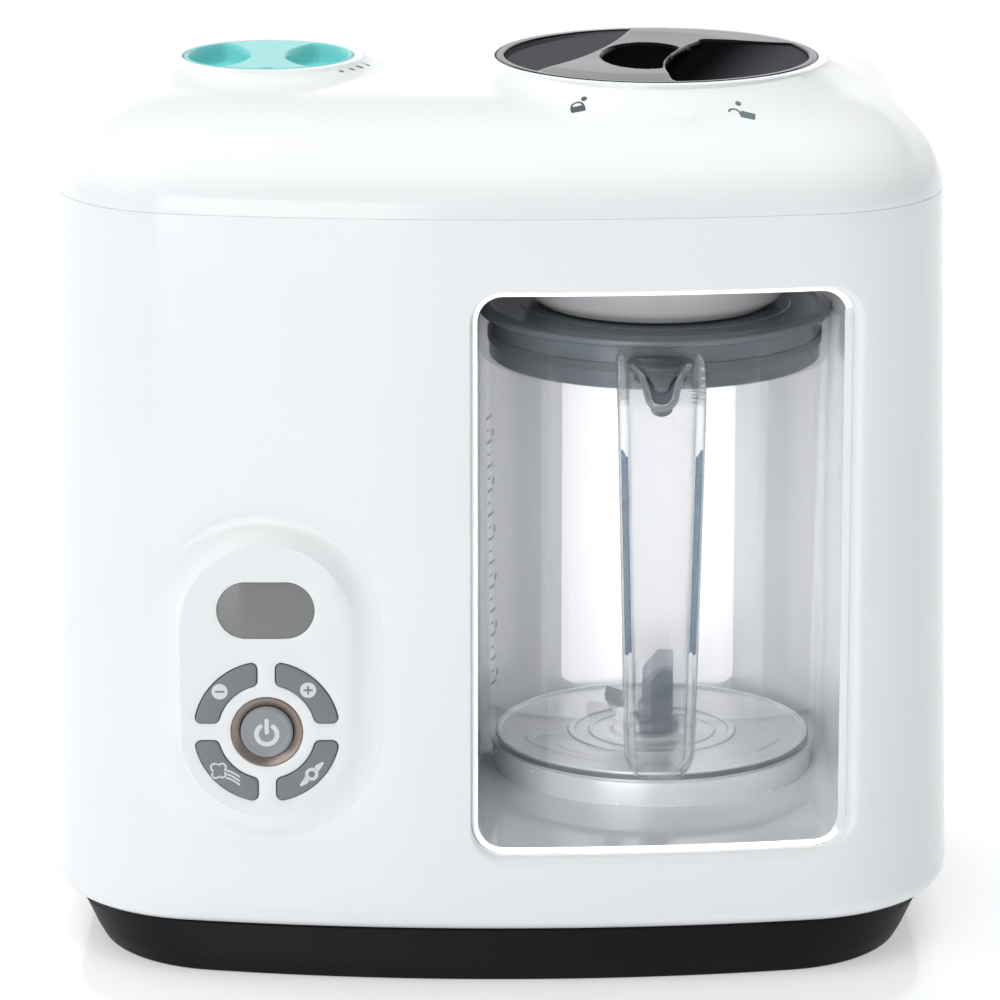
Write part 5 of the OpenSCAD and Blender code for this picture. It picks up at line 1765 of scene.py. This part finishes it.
    def _lid(self) -> None:
        """Makes the lid and the tongue that hooks into the handle."""
        inner, out, top = self.skirt_r - 2.0, self.lid_r, self.lid_top_z
        profile = fillet_path([
            (self.inlet_r, top - 2.2, 0), (inner, top - 2.2, 0.6), (inner, self.skirt_low_z, 0.4),
            (self.skirt_r, self.skirt_low_z, 0.5), (self.skirt_r, self.lid_z, 0), (out, self.lid_z, 0.6),
            (out, top - 0.9, 0.9), (out - 3.6, top, 0.8), (out - 5.0, top - 0.5, 0.5),
            (44.0, top - 0.5, 0.3), (43.4, top - 0.1, 0.2), (self.inlet_r, top - 0.1, 0)])
        skin = Skin()
        skin.lathe(profile, AT.jug_axis, 160)
        lid = skin.mesh("jug_lid_moulded", LID)
        settle(lid, "jug", "lid_grey", "jug_lid")
        end = self.strap.lead + 0.5 * self.strap.bend_l
        tongue = Skin()
        self._pad(tongue, (self.rail_w + 0.5, 2.6, end, 7.4), self.web_t + 1.6, self.web_t + 4.4)
        self._pad(tongue, (self.rail_w + 2.2, 0.5 * end, end + 7.6, 4.6), self.web_t + 0.2, self.web_t + 1.3)
        settle(tongue.mesh("lid_tongue", LID), "jug", "lid_grey")
        self._bead(0.3 * end, end + self.bead_past)

    def _pad(self, skin: Skin, plan: tuple[float, float, float, float], low: float, high: float) -> None:
        """Adds a closed pad with rounded edges that lies in the handle's channel.

        Args:
            skin: the mesh in the making.
            plan: its inset from the strap's edges, its start and end, and how much narrower it gets.
            low: depth of its back.
            high: depth of its front.
        """
        inset, start, end, funnel = plan
        edge = min(0.5, (high - low) / 4)
        steps = ((1.0, low), (0.0, low + edge), (0.0, high - 1.2 * edge), (0.4, high - 0.4 * edge),
                 (1.2, high))
        outlines = [self.strap.loop(inset + k * edge, start, end - k * edge, 0.8, funnel) for k, _ in steps]
        rows = [self.strap.place(outline, deep) for outline, (_, deep) in zip(outlines, steps)]
        skin.sheet(rows, around=True)
        for k in (0, -1):
            self._web(skin, outlines[k], rows[k], steps[k][1])

    def _bead(self, start: float, end: float) -> None:
        """Makes the clear bead below the tongue, as a bent tube.

        Args:
            start: length along the strap at which its arms start.
            end: length at which its bend ends.
        """
        line = self.strap.loop(self.rail_w + self.bead_inset, start, end, 0.9, self.bead_funnel)
        line = line[:-self.strap.top_points]
        side = beside(line)
        rings = []
        for turn in np.linspace(0, 2 * math.pi, 13)[:-1]:
            across = self.bead_r * math.cos(turn) * side
            deep = self.web_t + self.bead_deep + self.bead_r * math.sin(turn)
            rings.append(self.strap.place(line + across, deep))
        skin = Skin()
        skin.tube(np.stack(rings, 1))
        settle(skin.mesh("tongue_bead", CLEAR_BEAD_HIGHLIGHT), "jug", "clear_plastic")

    def _blade(self) -> None:
        """Makes the chopping blade from its hub, its tall wing and its short wing; its low left part is
        painted bright as a reflection.
        """
        top = self.blade_z + self.blade_t
        profile = fillet_path([
            (3.1, self.hub_z, 0.2), (9.0, self.hub_z, 0.4), (9.0, self.blade_z - 0.4, 0.4), (8.0, top, 0.3),
            (3.1, top, 0)])
        skin = Skin()
        skin.lathe(profile, AT.jug_axis, 64)
        for wing in self.wings:
            self._wing(skin, wing)
        blade = skin.mesh("chopping_blade_bent", BLADE)
        # The low left part of the blade, mostly the short wing, takes the bright steel: a painted reflection
        # on the one blade steel.
        blade.data.materials.append(BRIGHT.material())
        for face in blade.data.polygons:
            x, _, z = face.center / MM
            face.material_index = int(x < AT.jug_x - 4 and z < self.blade_z + self.painted_reflection_h)
        settle(blade, "blade", "bright_steel", "chopping_blade")

    def _wing(self, skin: Skin, wing: Wing) -> None:
        """Adds one wing of the blade to a mesh in the making."""
        way = np.array(wing.way)
        across = np.array([-way[1], way[0]])
        left, right = wing.sides
        rise, end_rise = wing.rise
        bend, steps = 2.2, 16
        turn = np.radians(np.linspace(0, rise, 9))
        path = [(-2.0, 0.0, 0.0)]
        path += [(wing.root + bend * math.sin(a), bend * (1 - math.cos(a)), a) for a in turn]
        tip = np.radians(rise + (end_rise - rise) * ease(0.5, 0.95, np.linspace(0, 1, steps)))
        step = wing.length / steps
        for angle in tip:
            out, up, _ = path[-1]
            path.append((out + step * math.cos(angle), up + step * math.sin(angle), angle))
        breadth = np.linspace(0, 1, 7)
        sections = []
        for k, (out, up, angle) in enumerate(path):
            share = max(0, k - len(turn)) / steps
            front, back = [], []
            for b in breadth:
                shift = -share * wing.slant * max(0.0, 1 - 2 * b)
                edge = 0.55 * self.blade_t if b in (0, 1) else 0.0
                flat = np.array(AT.jug_axis) + across * (left + (right - left) * b)
                for side, depth in ((front, edge), (back, self.blade_t)):
                    o = out + shift * math.cos(angle) - depth * math.sin(angle)
                    u = up + shift * math.sin(angle) + depth * math.cos(angle)
                    side.append((*(flat + way * o), self.blade_z + u))
            sections.append(front + back[::-1])
        skin.tube(sections)


@dataclass
class SteamHead:
    """The pale steam head that presses on the lid, darkened to grey as painted shade."""

    low_z: float = 199.6
    radius: float = 42.9
    cup_h: float = 26.4
    stem_r: float = 21.5
    stem_top: float = 251.0

    def build(self) -> None:
        """Makes the head."""
        low, top, out, stem = self.low_z, self.low_z + self.cup_h, self.radius, self.stem_r
        profile = fillet_path([
            (8, low, 0.4), (out - 5.5, low, 3.0), (out - 1.2, low + 3.2, 4.0), (out, low + 10, 3.0),
            (out, top, 1.0), (stem, top, 0.5), (stem, self.stem_top, 0.5), (stem - 3, self.stem_top, 0.5),
            (stem - 3, top - 2.5, 0), (out - 2.5, top - 2.5, 0), (out - 2.5, low + 8, 0),
            (out - 7, low + 3, 0), (8, low + 3, 0)])
        skin = Skin()
        skin.lathe(profile, AT.jug_axis, 144)
        settle(skin.mesh("steam_head_moulded", HEAD_SHADED), "head", "head_grey", "steam_head")


@dataclass(frozen=True)
class TickRow:
    """One row of equal level ticks.

    Attributes:
        name: the piece's name.
        count: number of ticks.
        offset: height of the first one, in pitches.
        spread: distance between two, in pitches.
        shift: turn about the jug's axis, in degrees.
        length: length of a tick.
        height: height of a tick.
    """

    name: str
    count: int
    offset: float
    spread: float
    shift: float
    length: float
    height: float


@dataclass
class Graduation:
    """Printed level ticks on the jug's side."""

    low_z: float = 66.0
    pitch: float = 8.2
    angle: float = 163.0
    print_t: float = 0.12
    rows: tuple[TickRow, ...] = (TickRow("jug_ticks", 12, 0.0, 1.0, 0.0, 5.5, 0.9),
                                 TickRow("jug_half_ticks", 11, 0.5, 1.0, 1.5, 2.6, 0.6),
                                 TickRow("jug_tick_blocks", 6, 0.3, 2.0, -3.4, 1.5, 2.4))

    def build(self) -> None:
        """Makes the rows of marks through a node tree."""
        for row in self.rows:
            angle, first = self.angle + row.shift, self.low_z + row.offset * self.pitch
            gaps = row.count - 1
            low = self._on_wall(first, angle)
            high = self._on_wall(first + row.spread * self.pitch * gaps, angle)
            size = (row.length * MM, self.print_t * MM, row.height * MM)
            piece = repeat_bars(row.name, PRINT_DARK, row.count, low * MM, (high - low) * MM / gaps,
                                math.radians(angle + 90), size)
            settle(piece, "jug", "charcoal")

    @staticmethod
    def _on_wall(z: float, angle: float) -> Points:
        """A point on the jug's outer wall at a height and an angle in degrees."""
        return np.array([*arc(AT.jug_axis, Jug().outer_r(z), angle, angle, 0)[0], z])


def repeat_bars(name: str, finish: Finish, count: int, start: Points, step: Points, turn: float,
                size: Triple) -> Piece:
    """Repeats a small bar along a line with a node tree.

    Args:
        name: the object's name.
        finish: the bars' finish.
        count: number of bars.
        start: place of the first bar, in metres.
        step: way from one bar to the next, in metres.
        turn: turn of each bar about Z, in radians.
        size: length, depth and height of a bar, in metres.

    Returns:
        The object with a plain mesh.
    """
    tree = bpy.data.node_groups.new(f"{name}_tree", "GeometryNodeTree")
    tree.interface.new_socket("Geometry", in_out="OUTPUT", socket_type="NodeSocketGeometry")
    values = {"Count": (count, "NodeSocketInt"), "Start": (start, "NodeSocketVector"),
              "Step": (step, "NodeSocketVector"), "Turn": (turn, "NodeSocketFloat"),
              "Size": (size, "NodeSocketVector")}
    sockets = {}
    for label, (_, kind) in values.items():
        sockets[label] = tree.interface.new_socket(label, in_out="INPUT", socket_type=kind).identifier
    given = tree.nodes.new("NodeGroupInput").outputs
    line = add_node(tree, "GeometryNodeMeshLine", {"Count": given["Count"], "Start Location": given["Start"],
                                                   "Offset": given["Step"]})
    bar = add_node(tree, "GeometryNodeMeshCube", {"Size": given["Size"]})
    spin = add_node(tree, "ShaderNodeCombineXYZ", {"Z": given["Turn"]})
    copies = add_node(tree, "GeometryNodeInstanceOnPoints", {
        "Points": line.outputs["Mesh"], "Instance": bar.outputs["Mesh"], "Rotation": spin.outputs["Vector"]})
    real = add_node(tree, "GeometryNodeRealizeInstances", {"Geometry": copies.outputs["Instances"]})
    paint = add_node(tree, "GeometryNodeSetMaterial", {"Geometry": real.outputs["Geometry"],
                                                       "Material": finish.material()})
    add_node(tree, "NodeGroupOutput", {"Geometry": paint.outputs["Geometry"]})
    piece = stand(name, bpy.data.meshes.new(name))
    row = piece.modifiers.new("bars", "NODES")
    row.node_group = tree
    for label, (value, _) in values.items():
        row[sockets[label]] = value if isinstance(value, (int, float)) else [float(v) for v in value]
    freeze(piece, row)
    return piece


def link_light(lamp: Piece, pieces: Sequence[str], share: Share) -> None:
    """Lets a lamp light only some pieces.

    Args:
        lamp: the lamp.
        pieces: names of the pieces.
        share: whether it lights those, or all the others.
    """
    group = bpy.data.collections.new(f"{lamp.name}_pieces")
    for piece in pieces:
        group.objects.link(bpy.data.objects[piece])
    lamp.light_linking.receiver_collection = group
    for entry in group.collection_objects:
        entry.light_linking.link_state = share.value


@dataclass(frozen=True)
class Softbox:
    """A square lamp that faces a target, in metres and watts."""

    name: str
    place: Triple
    target: Triple
    size: float
    power: float

    def hang(self, lit: Sequence[str] = ()) -> None:
        """Hangs the lamp.

        Args:
            lit: names of the only pieces that it lights, or none for all.
        """
        data = bpy.data.lights.new(self.name, "AREA")
        data.size = self.size
        data.energy = self.power
        lamp = stand(self.name, data)
        lamp.location = self.place
        lamp.visible_glossy = not lit
        way = Vector(self.target) - Vector(self.place)
        lamp.rotation_euler = way.to_track_quat("-Z", "Y").to_euler()
        if lit:
            link_light(lamp, lit, Share.ONLY)


@dataclass
class Studio:
    """The pale floor, the soft light and the camera."""

    floor_r: float = 40.0
    camera_at: Triple = (0.0, -1.7, 0.57433)
    tilt: float = 14.54
    lens: float = 194.2
    sensor_w: float = 36.0
    far: float = 200.0
    overhead: float = 2.7
    sky_light: float = 0.22
    backdrop: float = 1.0
    shade: float = 0.04
    sky_tint: tuple[float, float, float, float] = (0.97, 0.985, 1.0, 1.0)
    sun_way: Triple = (0.22, -0.1, -1.0)
    sun_spread: float = 70.0
    softboxes: tuple[Softbox, ...] = (
        Softbox("left_softbox", (-2.0, -1.1, 0.9), (0.0, 0.0, 0.13), 1.5, 0.5),
        Softbox("front_softbox", (-1.2, -3.0, 0.85), (0.05, 0.0, 0.13), 1.8, 26.5))
    niche_light: Softbox = Softbox("niche_light", (-0.35, -1.6, 0.13), (0.05, 0.0, 0.13), 0.6, 30.0)
    niche_pieces: tuple[str, ...] = (
        "niche_liner_skin", "niche_back_panel_skin", "jug_clear", "jug_base_turned", "jug_lid_moulded",
        "lid_tongue", "tongue_bead", "chopping_blade_bent", "steam_head_moulded", "jug_ticks",
        "jug_half_ticks", "jug_tick_blocks", "jug_seal", "blade_bush", "drive_dog")

    def build(self) -> None:
        """Sets the stage."""
        scene = bpy.context.scene
        scene.view_settings.view_transform = "Standard"
        floor = Skin()
        floor.fill([level(circle((0, 0), self.floor_r / MM, 96), 0.0)], (0, 1))
        floor.mesh("studio_floor", FLOOR)
        self._sky()
        for box in self.softboxes:
            box.hang()
        self._sun()
        self.niche_light.hang(self.niche_pieces)
        lens = bpy.data.cameras.new("studio_camera")
        lens.lens = self.lens
        lens.sensor_width = self.sensor_w
        lens.clip_end = self.far
        camera = stand("studio_camera", lens)
        camera.location = self.camera_at
        camera.rotation_euler = (math.radians(90 - self.tilt), 0, 0)
        scene.camera = camera

    def _sky(self) -> None:
        """Lights the room evenly, with a bright backdrop low behind the object and a dark band above it."""
        world = bpy.data.worlds.new("studio_world")
        bpy.context.scene.world = world
        world.use_nodes = True
        tree = world.node_tree
        way = tree.nodes.new("ShaderNodeTexCoord").outputs["Generated"]
        parts = add_node(tree, "ShaderNodeSeparateXYZ", {"Vector": way}).outputs
        behind = self._ramp(tree, parts["Y"], (0.2, 0.6), (0.0, 1.0))
        low = self._ramp(tree, parts["Z"], (0.4, 0.5), (self.backdrop, self.shade))
        high = self._ramp(tree, parts["Z"], (0.7, 0.85), (0.0, 1.0))
        upper = add_node(tree, "ShaderNodeMix", {0: high, 2: low, 3: self.sky_light})
        whole = add_node(tree, "ShaderNodeMix", {0: behind, 2: self.sky_light, 3: upper.outputs[0]})
        feed(tree, tree.nodes["Background"], {"Color": self.sky_tint, "Strength": whole.outputs[0]})

    @staticmethod
    def _ramp(tree: Tree, value: Socket, span: Pair,
              ends: Pair) -> Socket:
        """Adds a node that maps a value from a span on to two ends."""
        step = add_node(tree, "ShaderNodeMapRange", {"Value": value, "From Min": span[0], "From Max": span[1],
                                                     "To Min": ends[0], "To Max": ends[1]})
        return step.outputs["Result"]

    def _sun(self) -> None:
        """Hangs the wide overhead light, which the niche's pieces don't get."""
        sun = bpy.data.lights.new("overhead_light", "SUN")
        sun.energy = self.overhead
        sun.angle = math.radians(self.sun_spread)
        lamp = stand("overhead_light", sun)
        lamp.rotation_euler = Vector(self.sun_way).to_track_quat("-Z", "Y").to_euler()
        lamp.visible_glossy = False
        link_light(lamp, self.niche_pieces, Share.ALL_BUT)


def dress_inner_nodes() -> None:
    """Gives every node that keeps its own shape the finish of its slot."""
    slots = {entry["node"]: entry["material_slot"] for entry in frame["record"]["subparts"]}
    for name, node in frame["nodes"].items():
        finish = SLOT_FINISH[slots[name]]
        node.data.materials.clear()
        node.data.materials.append(finish.material())
        LOG.info("%s keeps its shape in %s", name, finish.name)


def main() -> None:
    """Dresses the frame and sets the stage."""
    logging.basicConfig(level=logging.INFO, format="%(message)s")
    dress_inner_nodes()
    for part in (BodyShell(), TopCover(), BaseTray(), Niche(), Controls(), LockDial(), WaterCap(), Jug(),
                 SteamHead(), Graduation(), Studio()):
        LOG.info("building %s", type(part).__name__)
        part.build()


if __name__ == "__main__":
    main()
